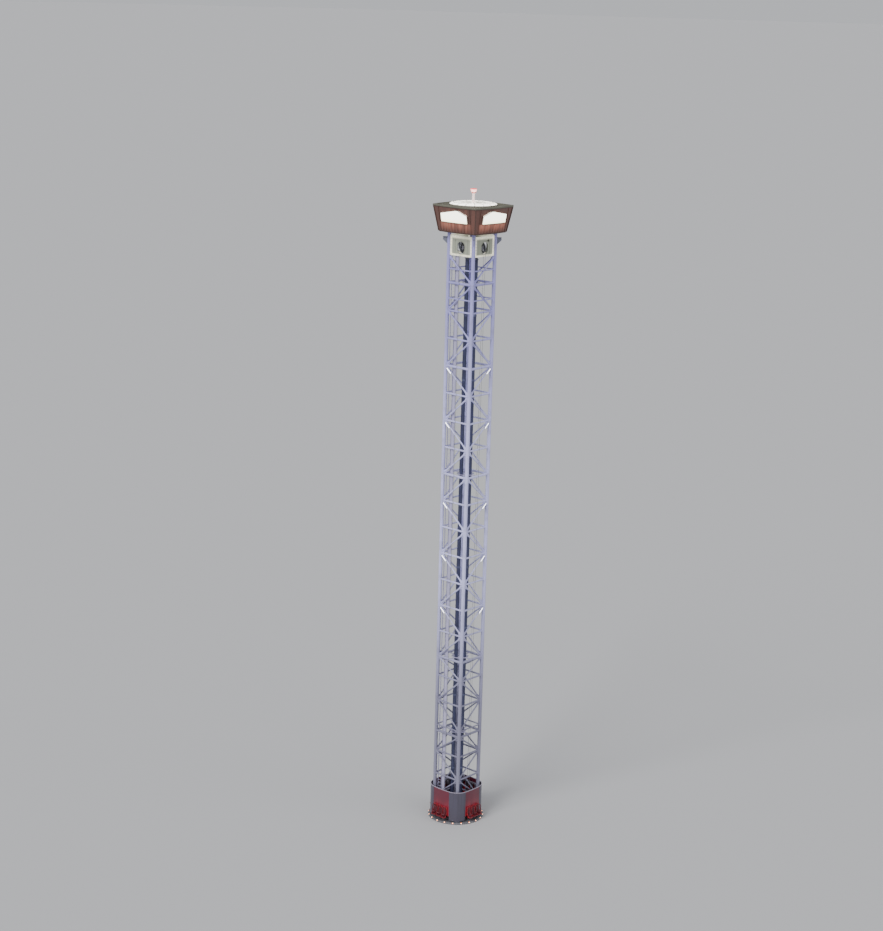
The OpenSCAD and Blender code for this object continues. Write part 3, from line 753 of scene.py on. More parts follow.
class Effect:
    """A shader node group with named inputs and outputs, built once and shared."""

    name = "effect"
    takes: dict[str, str] = {}
    gives: dict[str, str] = {}

    def wire(self, graph: Graph, given: dict, results: dict) -> None:
        """Builds the inside of the group."""
        raise NotImplementedError

    def tree(self) -> bpy.types.NodeTree:
        """The group's tree, built on first use.

        Returns:
            The node tree.
        """
        known = bpy.data.node_groups.get(self.name)
        if known:
            return known
        tree = bpy.data.node_groups.new(self.name, "ShaderNodeTree")
        for name, kind in self.takes.items():
            tree.interface.new_socket(name=name, in_out="INPUT", socket_type=kind)
        for name, kind in self.gives.items():
            tree.interface.new_socket(name=name, in_out="OUTPUT", socket_type=kind)
        graph = Graph(tree)
        given = graph.node("NodeGroupInput").outputs
        results = graph.node("NodeGroupOutput").inputs
        self.wire(
            graph,
            {name: given[name] for name in self.takes},
            {name: results[name] for name in self.gives},
        )
        return tree

    def use(self, graph: Surface, **values: object) -> dict[str, Socket]:
        """Places the group in a material, at the point that is coloured.

        Args:
            graph: The material's graph.
            values: Numbers, colours or outputs for the group's other inputs.

        Returns:
            The group's outputs by name.
        """
        made = graph.node("ShaderNodeGroup", node_tree=self.tree())
        graph.feed(made.inputs["Vector"], graph.vector)
        for name, value in values.items():
            graph.feed(made.inputs[name], value)
        return {name: made.outputs[name] for name in self.gives}


FLOAT, COLOUR, VECTOR = "NodeSocketFloat", "NodeSocketColor", "NodeSocketVector"

# The ends of a ramp that rises and of one that falls
UP, DOWN = (0.0, 1.0), (1.0, 0.0)

BLACK = (0.0, 0.0, 0.0)

# How deep orange peel and dents lie in a coat of paint
PEEL_DEPTH = 0.0006


class Weathering(Effect):
    """Dust patches, rain streaks and splashed dirt near the ground over a clean coat."""

    name = "weathering"
    takes = {
        "Vector": VECTOR,
        "Clean": COLOUR,
        "Dirty": COLOUR,
        "Rough": FLOAT,
        "Patches": FLOAT,
        "Streaks": FLOAT,
        "Splash": FLOAT,
    }
    gives = {"Color": COLOUR, "Roughness": FLOAT, "Height": FLOAT}

    def wire(self, graph: Graph, given: dict, results: dict) -> None:
        """Builds the masks and mixes the dirt in.

        Args:
            graph: The group's graph.
            given: Its inputs by name.
            results: The sockets that it gives, by name.
        """
        vector = given["Vector"]
        patch = graph.ramp(graph.noise(vector, scale=1.7, detail=7.0), 0.46, 0.74, UP)
        thin = graph.stretch(vector, (17.0, 17.0, 0.55))
        streak = graph.ramp(graph.noise(thin, scale=1.0, detail=3.0), 0.5, 0.78, UP)
        height = graph.apart(vector)[2]
        low = graph.ramp(height, 0.0, 1.1, DOWN)
        spray = graph.times(low, graph.noise(vector, scale=11.0, detail=5.0))
        masks = [
            graph.times(patch, given["Patches"]),
            graph.times(streak, given["Streaks"]),
            graph.times(spray, given["Splash"]),
        ]
        dirt = graph.maths("MAXIMUM", graph.maths("MAXIMUM", masks[0], masks[1]), masks[2])
        tone = graph.ramp(graph.noise(vector, scale=24.0, detail=3.0), 0.3, 0.7, (0.0, 0.14))
        coat = graph.mix(tone, given["Clean"], given["Dirty"])
        graph.link(graph.mix(dirt, coat, given["Dirty"]), results["Color"])
        extra = graph.times(dirt, 0.3)
        graph.link(graph.plus(given["Rough"], extra), results["Roughness"])
        peel = graph.noise(vector, scale=260.0, detail=2.0)
        dent = graph.times(graph.noise(vector, scale=9.0, detail=2.0), 2.2)
        graph.link(graph.plus(peel, dent), results["Height"])


class PaintedFloodlightTone(Effect):
    """Painted blue-violet floodlight: three colours that blend along the tower, from its foot over
    its middle to its top.
    """

    name = "painted_floodlight_tone"
    takes = {"Vector": VECTOR, "Low": COLOUR, "Middle": COLOUR, "High": COLOUR}
    gives = {"Color": COLOUR}

    def wire(self, graph: Graph, given: dict, results: dict) -> None:
        """Blends the painted floodlight's colours by height.

        Args:
            graph: The group's graph.
            given: Its inputs by name.
            results: The sockets that it gives, by name.
        """
        height = graph.apart(given["Vector"])[2]
        # Painted floodlight: darker at the foot, lit most in the middle, bluer at the top
        rise = graph.ramp(height, 4.0, 13.0, UP)
        top = graph.ramp(height, 17.0, 25.5, UP)
        lower = graph.mix(rise, given["Low"], given["Middle"])
        graph.link(graph.mix(top, lower, given["High"]), results["Color"])


class SheetSeams(Effect):
    """Thin upright seams at equal angles round the axis, and a shade for each sheet."""

    name = "sheet_seams"
    takes = {"Vector": VECTOR, "Count": FLOAT, "Width": FLOAT}
    gives = {"Seam": FLOAT, "Shade": FLOAT}

    def wire(self, graph: Graph, given: dict, results: dict) -> None:
        """Counts the sheets round the axis.

        Args:
            graph: The group's graph.
            given: Its inputs by name.
            results: The sockets that it gives, by name.
        """
        x, y, _ = graph.apart(given["Vector"])
        angle = graph.maths("ARCTAN2", y, x)
        turns = graph.plus(graph.maths("DIVIDE", angle, 2 * math.pi), 0.5)
        steps = graph.times(turns, given["Count"])
        off = graph.size(graph.maths("SUBTRACT", graph.maths("FRACT", steps), 0.5))
        edge = graph.maths("SUBTRACT", 0.5, given["Width"])
        seam = graph.maths("GREATER_THAN", off, edge)
        graph.link(seam, results["Seam"])
        random = graph.node("ShaderNodeTexWhiteNoise", noise_dimensions="1D")
        graph.link(graph.maths("FLOOR", steps), random.inputs["W"])
        graph.link(random.outputs[0], results["Shade"])


class WeldRings(Effect):
    """Narrow weld seams round the tower's tubes at the four heights of its splices."""

    name = "weld_rings"
    takes = {"Vector": VECTOR, "First": FLOAT, "Second": FLOAT, "Third": FLOAT, "Fourth": FLOAT}
    gives = {"Mask": FLOAT}

    def wire(self, graph: Graph, given: dict, results: dict) -> None:
        """Marks the heights that lie close to a splice.

        Args:
            graph: The group's graph.
            given: Its inputs by name.
            results: The sockets that it gives, by name.
        """
        height = graph.apart(given["Vector"])[2]
        total = None
        for name in ("First", "Second", "Third", "Fourth"):
            gap = graph.size(graph.maths("SUBTRACT", height, given[name]))
            near = graph.ramp(gap, 0.004, 0.010, DOWN)
            total = near if total is None else graph.maths("MAXIMUM", total, near)
        graph.link(total, results["Mask"])


class TreadPlate(Effect):
    """Raised lozenges in two directions, as on chequer plate."""

    name = "tread_plate"
    takes = {"Vector": VECTOR, "Pitch": FLOAT}
    gives = {"Height": FLOAT}

    def wire(self, graph: Graph, given: dict, results: dict) -> None:
        """Lays short bars on a grid, turned in every second cell.

        Args:
            graph: The group's graph.
            given: Its inputs by name.
            results: The sockets that it gives, by name.
        """
        x, y, _ = graph.apart(given["Vector"])
        cells = [graph.maths("DIVIDE", value, given["Pitch"]) for value in (x, y)]
        inside = [graph.maths("SUBTRACT", graph.maths("FRACT", cell), 0.5) for cell in cells]
        floors = graph.plus(*(graph.maths("FLOOR", cell) for cell in cells))
        odd = graph.size(graph.maths("MODULO", floors, 2.0))
        even_cell = graph.maths("SUBTRACT", 1.0, odd)
        along, across = (
            graph.plus(graph.times(first, odd), graph.times(second, even_cell))
            for first, second in (inside, inside[::-1])
        )
        wide = graph.times(graph.size(across), 4.0)
        size = graph.plus(graph.size(along), wide)
        graph.link(graph.ramp(size, 0.34, 0.46, DOWN), results["Height"])


class RopeLay(Effect):
    """The slanting strands of a laid wire rope."""

    name = "rope_lay"
    takes = {"Vector": VECTOR, "Pitch": FLOAT}
    gives = {"Mask": FLOAT}

    def wire(self, graph: Graph, given: dict, results: dict) -> None:
        """Slants narrow bands against the rope's length.

        Args:
            graph: The group's graph.
            given: Its inputs by name.
            results: The sockets that it gives, by name.
        """
        x, y, z = graph.apart(given["Vector"])
        slant = graph.times(graph.plus(x, y), 1.6)
        turns = graph.maths("DIVIDE", graph.plus(z, slant), given["Pitch"])
        wave = graph.maths("SINE", graph.times(turns, 2 * math.pi))
        graph.link(graph.ramp(wave, -1.0, 1.0, UP), results["Mask"])


class LampRows(Effect):
    """The even rows of lamps that show faintly through a lit panel."""

    name = "lamp_rows"
    takes = {"Vector": VECTOR, "Pitch": FLOAT, "Depth": FLOAT}
    gives = {"Level": FLOAT}

    def wire(self, graph: Graph, given: dict, results: dict) -> None:
        """Makes soft bright spots on a grid in all three directions.

        Args:
            graph: The group's graph.
            given: Its inputs by name.
            results: The sockets that it gives, by name.
        """
        spots = None
        for value in graph.apart(given["Vector"]):
            turns = graph.maths("DIVIDE", value, given["Pitch"])
            wave = graph.maths("COSINE", graph.times(turns, 2 * math.pi))
            spots = wave if spots is None else graph.plus(spots, wave)
        level = graph.ramp(spots, -2.0, 2.0, UP)
        dip = graph.times(graph.maths("SUBTRACT", 1.0, level), given["Depth"])
        graph.link(graph.maths("SUBTRACT", 1.0, dip), results["Level"])


class Surface(Graph):
    """The graph of a material, with its shader and the point that is coloured."""

    def __init__(self, material: bpy.types.Material) -> None:
        """Finds the shader and adds the point.

        Args:
            material: The material.
        """
        super().__init__(material.node_tree)
        self.shader = self.tree.nodes["Principled BSDF"]
        self.vector = self.node("ShaderNodeTexCoord").outputs["Object"]

    def give(self, name: str, value: object) -> None:
        """Sets an input of the shader, or links it if the value is an output."""
        self.feed(self.shader.inputs[name], value)

    def bump(self, height: object, depth: float, amount: float) -> None:
        """Adds a Bump node.

        Args:
            height: The height that it reads.
            depth: The height's real depth in metres.
            amount: The bump's strength.
        """
        made = self.node("ShaderNodeBump")
        made.inputs["Strength"].default_value = amount
        made.inputs["Distance"].default_value = depth
        self.feed(made.inputs["Height"], height)
        self.give("Normal", made.outputs["Normal"])

    def roughen(self, rough: float, scale: float, extra: float) -> None:
        """Varies how rough the surface is from spot to spot.

        Args:
            rough: How rough the smoothest spots are.
            scale: How small the spots are.
            extra: How much rougher the roughest spots are.
        """
        spots = self.ramp(self.noise(self.vector, scale), 0.3, 0.7, (rough, rough + extra))
        self.give("Roughness", spots)

    def shine(self, colour: Socket, glow: float) -> None:
        """Lets the surface give off light of a colour."""
        self.give("Emission Color", colour)
        self.give("Emission Strength", glow)


@dataclass(frozen=True)
class Finish:
    """What every finish shares: a name, a base colour and how rough it is."""

    name: str
    clean: Colour
    dirty: Colour
    rough: float

    def material(self) -> bpy.types.Material:
        """The finish as a material, built on first use.

        Returns:
            The material.
        """
        known = bpy.data.materials.get(self.name)
        if known:
            return known
        made = bpy.data.materials.new(self.name)
        made.use_nodes = True
        self.wire(Surface(made))
        made.diffuse_color = (*self.clean, 1.0)
        return made

    def wire(self, graph: Surface) -> None:
        """Links the finish's own nodes to the shader."""
        raise NotImplementedError


@dataclass(frozen=True)
class Paint(Finish):
    """Paint on steel, with dust, streaks and a little orange peel."""

    patches: float = 0.3
    streaks: float = 0.3
    splash: float = 0.0
    metallic: float = 0.0
    coat: float = 0.0
    peel: float = 0.25

    def coat_colour(self, graph: Surface) -> object:
        """The clean coat's colour."""
        return self.clean

    def weather(self, graph: Surface, clean: object) -> dict[str, Socket]:
        """Weathers a coat and gives it to the shader.

        Args:
            graph: The material's graph.
            clean: The clean coat's colour.

        Returns:
            The coat's colour and the height of its peel and dents, by name.
        """
        worn = Weathering().use(
            graph,
            Clean=clean,
            Dirty=self.dirty,
            Rough=self.rough,
            Patches=self.patches,
            Streaks=self.streaks,
            Splash=self.splash,
        )
        graph.give("Base Color", worn["Color"])
        graph.give("Roughness", worn["Roughness"])
        graph.give("Metallic", self.metallic)
        graph.give("Coat Weight", self.coat)
        return worn

    def wire(self, graph: Surface) -> None:
        """Weathers the coat."""
        worn = self.weather(graph, self.coat_colour(graph))
        graph.bump(worn["Height"], PEEL_DEPTH, self.peel)


@dataclass(frozen=True)
class TowerPaint(Paint):
    """The tower's steel paint with painted blue-violet floodlight, which makes it lavender and
    changes its tint along its height.
    """

    # The painted floodlight's colours for the middle and the top; the clean colour serves the foot
    middle: Colour = (0.8, 0.8, 0.9)
    high: Colour = (0.6, 0.6, 0.8)
    splices: tuple[float, float, float, float] = (4.125, 7.705, 16.224, 24.743)

    def coat_colour(self, graph: Surface) -> object:
        """The painted floodlight's tint for a height, a little darker where tubes are welded.

        Args:
            graph: The material's graph.

        Returns:
            The colour.
        """
        floodlight_tint = PaintedFloodlightTone().use(graph, Low=self.clean, Middle=self.middle, High=self.high)
        names = ("First", "Second", "Third", "Fourth")
        seam = WeldRings().use(graph, **dict(zip(names, self.splices)))["Mask"]
        return graph.mix(graph.times(seam, 0.45), floodlight_tint["Color"], self.dirty)


@dataclass(frozen=True)
class SeamedPaint(Paint):
    """Paint on curved sheets that meet at upright seams."""

    sheets: float = 32.0
    seam: float = 0.03
    shade: float = 0.12

    def wire(self, graph: Surface) -> None:
        """Weathers the coat, shades each sheet and sinks the seams.

        Args:
            graph: The material's graph.
        """
        lines = SheetSeams().use(graph, Count=self.sheets, Width=self.seam)
        share = graph.times(lines["Shade"], self.shade)
        coat = graph.mix(share, self.clean, self.dirty)
        lined = graph.mix(graph.times(lines["Seam"], 0.6), coat, self.dirty)
        worn = self.weather(graph, lined)
        sunk = graph.times(lines["Seam"], -6.0)
        height = graph.plus(worn["Height"], sunk)
        graph.bump(height, PEEL_DEPTH, self.peel)


@dataclass(frozen=True)
class DeckPlate(Paint):
    """Painted chequer plate."""

    pitch: float = 0.055
    worn_shade: Colour = (0.42, 0.42, 0.44)

    def wire(self, graph: Surface) -> None:
        """Weathers the coat and raises the lozenges, which are worn paler.

        Args:
            graph: The material's graph.
        """
        raised = TreadPlate().use(graph, Pitch=self.pitch)["Height"]
        worn = self.weather(graph, self.clean)
        share = graph.times(raised, 0.35)
        rubbed = graph.mix(share, worn["Color"], self.worn_shade)
        graph.give("Base Color", rubbed)
        height = graph.plus(worn["Height"], graph.times(raised, 5.0))
        graph.bump(height, PEEL_DEPTH, self.peel)


@dataclass(frozen=True)
class WireRope(Finish):
    """Oiled wire rope with its strands laid in a spiral."""

    pitch: float = 0.018

    def wire(self, graph: Surface) -> None:
        """Darkens the gaps between the strands.

        Args:
            graph: The material's graph.
        """
        lay = RopeLay().use(graph, Pitch=self.pitch)["Mask"]
        graph.give("Base Color", graph.mix(lay, self.dirty, self.clean))
        graph.roughen(self.rough, scale=40.0, extra=0.2)
        graph.give("Metallic", 0.8)
        graph.bump(lay, depth=0.0015, amount=0.8)


@dataclass(frozen=True)
class Casting(Finish):
    """Bare or thinly painted cast and machined metal."""

    metallic: float = 0.9
    grain: float = 90.0

    def wire(self, graph: Surface) -> None:
        """Mottles the metal and grains its surface.

        Args:
            graph: The material's graph.
        """
        mottle = graph.ramp(graph.noise(graph.vector, scale=14.0, detail=6.0), 0.35, 0.7, UP)
        graph.give("Base Color", graph.mix(mottle, self.clean, self.dirty))
        graph.roughen(self.rough, scale=30.0, extra=0.22)
        graph.give("Metallic", self.metallic)
        graph.bump(graph.noise(graph.vector, self.grain, 3.0), depth=0.0008, amount=0.35)


@dataclass(frozen=True)
class Moulding(Finish):
    """Moulded plastic or rubber with a fine grain."""

    grain: float = 500.0
    depth: float = 0.0004

    def wire(self, graph: Surface) -> None:
        """Grains the surface and lays thin dust on it.

        Args:
            graph: The material's graph.
        """
        dust = graph.ramp(graph.noise(graph.vector, scale=9.0, detail=6.0), 0.5, 0.8, (0.0, 0.5))
        graph.give("Base Color", graph.mix(dust, self.clean, self.dirty))
        graph.roughen(self.rough, scale=60.0, extra=0.15)
        graph.bump(graph.noise(graph.vector, self.grain, 2.0), self.depth, 0.5)


@dataclass(frozen=True)
class Vinyl(Finish):
    """Padded vinyl with leather grain, creased softly where it is pulled in."""

    def wire(self, graph: Surface) -> None:
        """Grains the cover with small cells.

        Args:
            graph: The material's graph.
        """
        cells = graph.node("ShaderNodeTexVoronoi", feature="DISTANCE_TO_EDGE")
        graph.feed(cells.inputs["Vector"], graph.vector)
        cells.inputs["Scale"].default_value = 320.0
        grain = graph.ramp(cells.outputs["Distance"], 0.0, 0.25, UP)
        spots = graph.noise(graph.vector, scale=16.0, detail=5.0)
        wear = graph.ramp(spots, 0.45, 0.75, (0.0, 0.55))
        graph.give("Base Color", graph.mix(wear, self.clean, self.dirty))
        rough = graph.ramp(grain, 0.0, 1.0, (self.rough + 0.18, self.rough))
        graph.give("Roughness", rough)
        graph.bump(grain, depth=0.0005, amount=0.5)


@dataclass(frozen=True)
class LitPanel(Finish):
    """A lit translucent panel, plain, with its lamps showing faintly."""

    glow: float = 3.0
    pitch: float = 0.13
    depth: float = 0.15

    def wire(self, graph: Surface) -> None:
        """Lights the panel, a little dimmer between its lamps.

        Args:
            graph: The material's graph.
        """
        rows = LampRows().use(graph, Pitch=self.pitch, Depth=self.depth)
        shade = graph.mix(rows["Level"], self.dirty, self.clean)
        graph.give("Base Color", shade)
        graph.shine(shade, self.glow)
        graph.roughen(self.rough, scale=12.0, extra=0.1)


@dataclass(frozen=True)
class LitSign(LitPanel):
    """A plain lit sign face with a dark metal rim."""

    half_width: float = 0.76
    low: float = 27.385
    high: float = 27.95
    rim: float = 0.026
    rim_colour: Colour = (0.30, 0.20, 0.17)
    blend: float = 0.006
    warm_reach: float = 0.22

    def wire(self, graph: Surface) -> None:
        """Lights the face and leaves its rim dark.

        Args:
            graph: The material's graph.
        """
        along, height = graph.on_side(graph.vector)
        side = self.half_width - self.rim
        floor, ceiling = self.low + self.rim, self.high - self.rim
        inside = graph.ramp(along, side - self.blend, side, DOWN)
        over = graph.ramp(height, floor, floor + self.blend, UP)
        under = graph.ramp(height, ceiling - self.blend, ceiling, DOWN)
        face = graph.times(inside, graph.times(over, under))
        rows = LampRows().use(graph, Pitch=self.pitch, Depth=self.depth)
        warm = graph.ramp(height, self.low, self.low + self.warm_reach, (0.7, 0.0))
        lit = graph.mix(warm, graph.mix(rows["Level"], self.dirty, self.clean), self.dirty)
        graph.give("Base Color", graph.mix(face, self.rim_colour, lit))
        graph.shine(graph.mix(face, BLACK, lit), self.glow)
        graph.roughen(self.rough, scale=12.0, extra=0.1)


@dataclass(frozen=True)
class GlowingPaint(Paint):
    """Pale paint with a painted glow that stands for the light of its own floodlights."""

    glow: float = 0.25

    def wire(self, graph: Surface) -> None:
        """Weathers the coat and adds the floodlight's soft share as a painted glow.

        Args:
            graph: The material's graph.
        """
        Paint.wire(self, graph)
        # Painted glow in soft pools
        pool = graph.ramp(graph.noise(graph.vector, scale=1.6, detail=2.0), 0.3, 0.75, (0.35, 1.0))
        graph.shine(graph.mix(pool, BLACK, self.clean), self.glow)


@dataclass(frozen=True)
class HeadPaint(GlowingPaint):
    """Pale paint with painted light along the borders of the head's walls and painted shade
    between them.
    """

    # Painted shade: the dull colour between the lit borders
    inner: Colour = (0.36, 0.38, 0.30)
    border: float = 0.525
    low: float = 26.015
    high: float = 26.735

    def wire(self, graph: Surface) -> None:
        """Paints light on the borders and shade between them, with a glow on the borders that is
        stronger where the floodlight reaches.

        Args:
            graph: The material's graph.
        """
        along, height = graph.on_side(graph.vector)
        edge = graph.ramp(along, self.border - 0.03, self.border + 0.02, UP)
        foot = graph.ramp(height, self.low - 0.02, self.low + 0.03, DOWN)
        head = graph.ramp(height, self.high - 0.10, self.high + 0.03, UP)
        painted_light_mask = graph.maths("MAXIMUM", edge, graph.maths("MAXIMUM", foot, head))
        # Painted light and shade: cream on the borders, the dull inner colour between them
        worn = self.weather(graph, graph.mix(painted_light_mask, self.inner, self.clean))
        pool = graph.ramp(graph.noise(graph.vector, scale=1.6, detail=2.0), 0.3, 0.75, (0.45, 1.0))
        # Painted glow on the borders
        share = graph.times(pool, painted_light_mask)
        graph.shine(graph.mix(share, BLACK, self.clean), self.glow)
        graph.bump(worn["Height"], PEEL_DEPTH, self.peel)


@dataclass(frozen=True)
class LitSheets(SeamedPaint):
    """Painted sheets with a painted glow that stands for the light of lamps close by."""

    tint: Colour = (1.0, 0.3, 0.2)
    glow: float = 0.5
    span: tuple[float, float] = (0.0, 1.0)
    levels: tuple[float, float] = (0.0, 1.0)
    ceiling: float = 100.0
    reach: float = 5.0

    def wire(self, graph: Surface) -> None:
        """Paints the sheets and adds the lamps' light as a painted glow in soft upright streaks.

        Args:
            graph: The material's graph.
        """
        SeamedPaint.wire(self, graph)
        along, height = graph.on_side(graph.vector)
        near = graph.ramp(along, self.reach, self.reach + 0.25, DOWN)
        rise = graph.ramp(height, *self.span, self.levels)
        under = graph.ramp(height, self.ceiling, self.ceiling + 0.02, DOWN)
        # Streaks of painted lamp light
        streaks = graph.noise(graph.stretch(graph.vector, (5.0, 5.0, 0.4)), 1.0, 2.0)
        share = graph.times(graph.ramp(streaks, 0.3, 0.7, (0.35, 1.0)), near)
        share = graph.times(share, graph.times(rise, under))
        graph.shine(graph.mix(share, BLACK, self.tint), self.glow)


class Finishes(Enum):
    """Every finish of the ride."""

    DECK = DeckPlate("deck_plate", (0.10, 0.10, 0.115), (0.05, 0.045, 0.045), 0.5, streaks=0.0)
    # Column and lattice colours are painted blue-violet floodlight on the steel's paint: darker at
    # the foot, lit most in the middle, bluer at the top
    COLUMN = TowerPaint(
        "column_paint_and_floodlight",
        (0.24, 0.235, 0.33),
        (0.20, 0.19, 0.25),
        0.38,
        patches=0.35,
        streaks=0.35,
        splash=0.6,
        middle=(0.64, 0.64, 1.0),
        high=(0.38, 0.365, 0.74),
    )
    LATTICE = TowerPaint(
        "lattice_paint_and_floodlight",
        (0.23, 0.225, 0.32),
        (0.18, 0.17, 0.24),
        0.42,
        patches=0.3,
        streaks=0.2,
        splash=0.5,
        middle=(0.66, 0.66, 1.0),
        high=(0.38, 0.365, 0.74),
    )
    # The navy of the cylinders and couplings is painted blue floodlight on a dark coat; the
    # lavender of the inner steel is painted violet floodlight, as on the tower
    CYLINDER = Paint("cylinder_paint", (0.040, 0.045, 0.10), (0.025, 0.025, 0.05), 0.4)
    COUPLING = Paint("coupling_paint", (0.08, 0.09, 0.17), (0.03, 0.03, 0.06), 0.4)
    INNER = Paint("inner_paint_and_violet_light", (0.46, 0.44, 0.62), (0.20, 0.19, 0.27), 0.45)
    CAST = Casting("sheave_casting", (0.20, 0.21, 0.23), (0.09, 0.09, 0.10), 0.35)
    STAND = Paint("stand_paint", (0.36, 0.36, 0.42), (0.12, 0.11, 0.11), 0.45, splash=0.4)
    ROPE = WireRope("wire_rope", (0.34, 0.34, 0.36), (0.05, 0.05, 0.055), 0.32)
    ZINC = Casting("zinc_bolts", (0.48, 0.48, 0.50), (0.24, 0.23, 0.23), 0.3, grain=200.0)
    # The head walls' cream carries a painted glow, with painted shade between their borders
    CREAM = HeadPaint(
        "cream_paint", (0.94, 0.91, 0.70), (0.34, 0.36, 0.29), 0.4, patches=0.45, glow=0.8
    )
    BRACKET = Paint("bracket_paint", (0.20, 0.21, 0.27), (0.10, 0.10, 0.12), 0.45)
    HOUSING = Paint("lamp_housing", (0.30, 0.30, 0.36), (0.12, 0.12, 0.14), 0.4)
    FLOOD = LitPanel("flood_lens", (0.95, 0.96, 1.0), (0.70, 0.74, 1.0), 0.2, glow=4.0)
    # The warm glow low on the copper walls, under the light boxes, is painted light from the signs
    COPPER = LitSheets(
        "copper_sheet",
        (0.19, 0.085, 0.065),
        (0.075, 0.045, 0.040),
        0.38,
        sheets=56.0,
        seam=0.05,
        shade=0.5,
        metallic=0.25,
        coat=0.1,
        tint=(1.0, 0.36, 0.24),
        glow=0.42,
        span=(26.98, 27.37),
        levels=(0.05, 1.0),
        ceiling=27.385,
        reach=0.70,
    )
    TRIM = Paint("copper_trim", (0.10, 0.055, 0.045), (0.05, 0.035, 0.03), 0.4, metallic=0.25)
    SIGN = LitSign("sign_face", (1.0, 0.97, 0.86), (1.0, 0.86, 0.52), 0.25, glow=3.2)
    ROOF = SeamedPaint(
        "roof_sheet",
        (0.155, 0.15, 0.105),
        (0.085, 0.08, 0.07),
        0.55,
        sheets=24.0,
        seam=0.015,
        shade=0.4,
    )
    ROOF_LIGHT = LitPanel("roof_glazing", (1.0, 0.98, 0.90), (1.0, 0.90, 0.62), 0.2, glow=3.0)
    # The mast's glow is painted light
    MAST = GlowingPaint("mast_paint", (0.92, 0.74, 0.72), (0.45, 0.28, 0.28), 0.4, glow=0.4)
    BEACON = LitPanel(
        "beacon_cap", (1.0, 0.03, 0.03), (0.7, 0.01, 0.01), 0.12, glow=1.1, pitch=0.04
    )
    BEACON_RED = Paint("beacon_foot_paint", (0.55, 0.05, 0.04), (0.25, 0.03, 0.03), 0.35)
    BEACON_CORE = LitPanel(
        "beacon_core", (1.0, 0.72, 0.66), (1.0, 0.30, 0.25), 0.2, glow=3.0, pitch=0.05, depth=0.4
    )
    AMBER = LitPanel("amber_lens", (1.0, 0.22, 0.035), (1.0, 0.12, 0.015), 0.15, glow=2.4)
    HOT = LitPanel("lamp_core", (1.0, 0.80, 0.55), (1.0, 0.62, 0.32), 0.15, glow=7.0)
    FRAME = Paint("carriage_frame_paint", (0.16, 0.15, 0.19), (0.07, 0.06, 0.07), 0.45)
    RUBBER = Moulding("roller_rubber", (0.025, 0.025, 0.027), (0.08, 0.075, 0.07), 0.6)
    # The red glow at the foot of the maroon panels is painted light from the lamps below
    MAROON = LitSheets(
        "maroon_sheet",
        (0.135, 0.011, 0.030),
        (0.055, 0.011, 0.022),
        0.3,
        sheets=40.0,
        seam=0.02,
        shade=0.25,
        coat=0.4,
        splash=0.4,
        tint=(1.0, 0.03, 0.03),
        glow=0.30,
        span=(0.25, 1.25),
        levels=(1.0, 0.0),
    )
    PLUM = SeamedPaint(
        "plum_sheet",
        (0.078, 0.070, 0.105),
        (0.042, 0.036, 0.048),
        0.36,
        sheets=40.0,
        seam=0.02,
        shade=0.2,
        coat=0.25,
        splash=0.5,
    )
    RAIL = Paint("rail_paint", (0.36, 0.32, 0.40), (0.17, 0.15, 0.19), 0.35)
    SHELL = Moulding("seat_shell_plastic", (0.30, 0.012, 0.022), (0.14, 0.03, 0.035), 0.32)
    PAD = Vinyl("pad_vinyl", (0.105, 0.010, 0.020), (0.16, 0.045, 0.05), 0.42)
    BAR = Paint("restraint_bar_paint", (0.16, 0.022, 0.030), (0.07, 0.02, 0.025), 0.35)

    @property
    def material(self) -> bpy.types.Material:
        """The finish's material."""
        return self.value.material()


# The finish of each CAD node, by the start of its name
NODE_FINISHES: dict[str, Finishes] = {
    "plinth": Finishes.DECK,
    "column_": Finishes.COLUMN,
    "lattice_": Finishes.LATTICE,
    "air_cylinders": Finishes.CYLINDER,
    "cylinder_braces": Finishes.INNER,
    "ladder": Finishes.INNER,
    "cable_tray": Finishes.INNER,
    "base_sheaves": Finishes.CAST,
    "head_sheaves": Finishes.CAST,
    "base_sheave_stands": Finishes.STAND,
    "head_sheave_frame": Finishes.STAND,
    "hoist_cables": Finishes.ROPE,
    "head_walls": Finishes.CREAM,
    "head_brackets": Finishes.BRACKET,
    "flood_lights": Finishes.FLOOD,
    "plinth_lamps": Finishes.AMBER,
    "crown_soffit": Finishes.TRIM,
    "crown_wall_": Finishes.COPPER,
    "crown_corner_trims": Finishes.TRIM,
    "crown_light_boxes": Finishes.SIGN,
    "crown_roof": Finishes.ROOF,
    "roof_light": Finishes.ROOF_LIGHT,
    "mast": Finishes.MAST,
    "beacon": Finishes.BEACON,
    "carriage_": Finishes.FRAME,
    "guide_rollers": Finishes.RUBBER,
    "side_panels": Finishes.MAROON,
    "corner_panels": Finishes.PLUM,
    "cap_rail": Finishes.RAIL,
    "seats_": Finishes.SHELL,
    "restraints_": Finishes.BAR,
}


def finish_of(node: str) -> Finishes:
    """The finish of a CAD node, by the longest start of its name that is listed.

    Args:
        node: The node's name.

    Returns:
        Its finish.
    """
    starts = [start for start in NODE_FINISHES if node.startswith(start)]
    return NODE_FINISHES[max(starts, key=len)]


def dress_nodes() -> None:
    """Gives every CAD node its finish."""
    for name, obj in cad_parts.items():
        obj.data.materials.clear()
        obj.data.materials.append(finish_of(name).material)


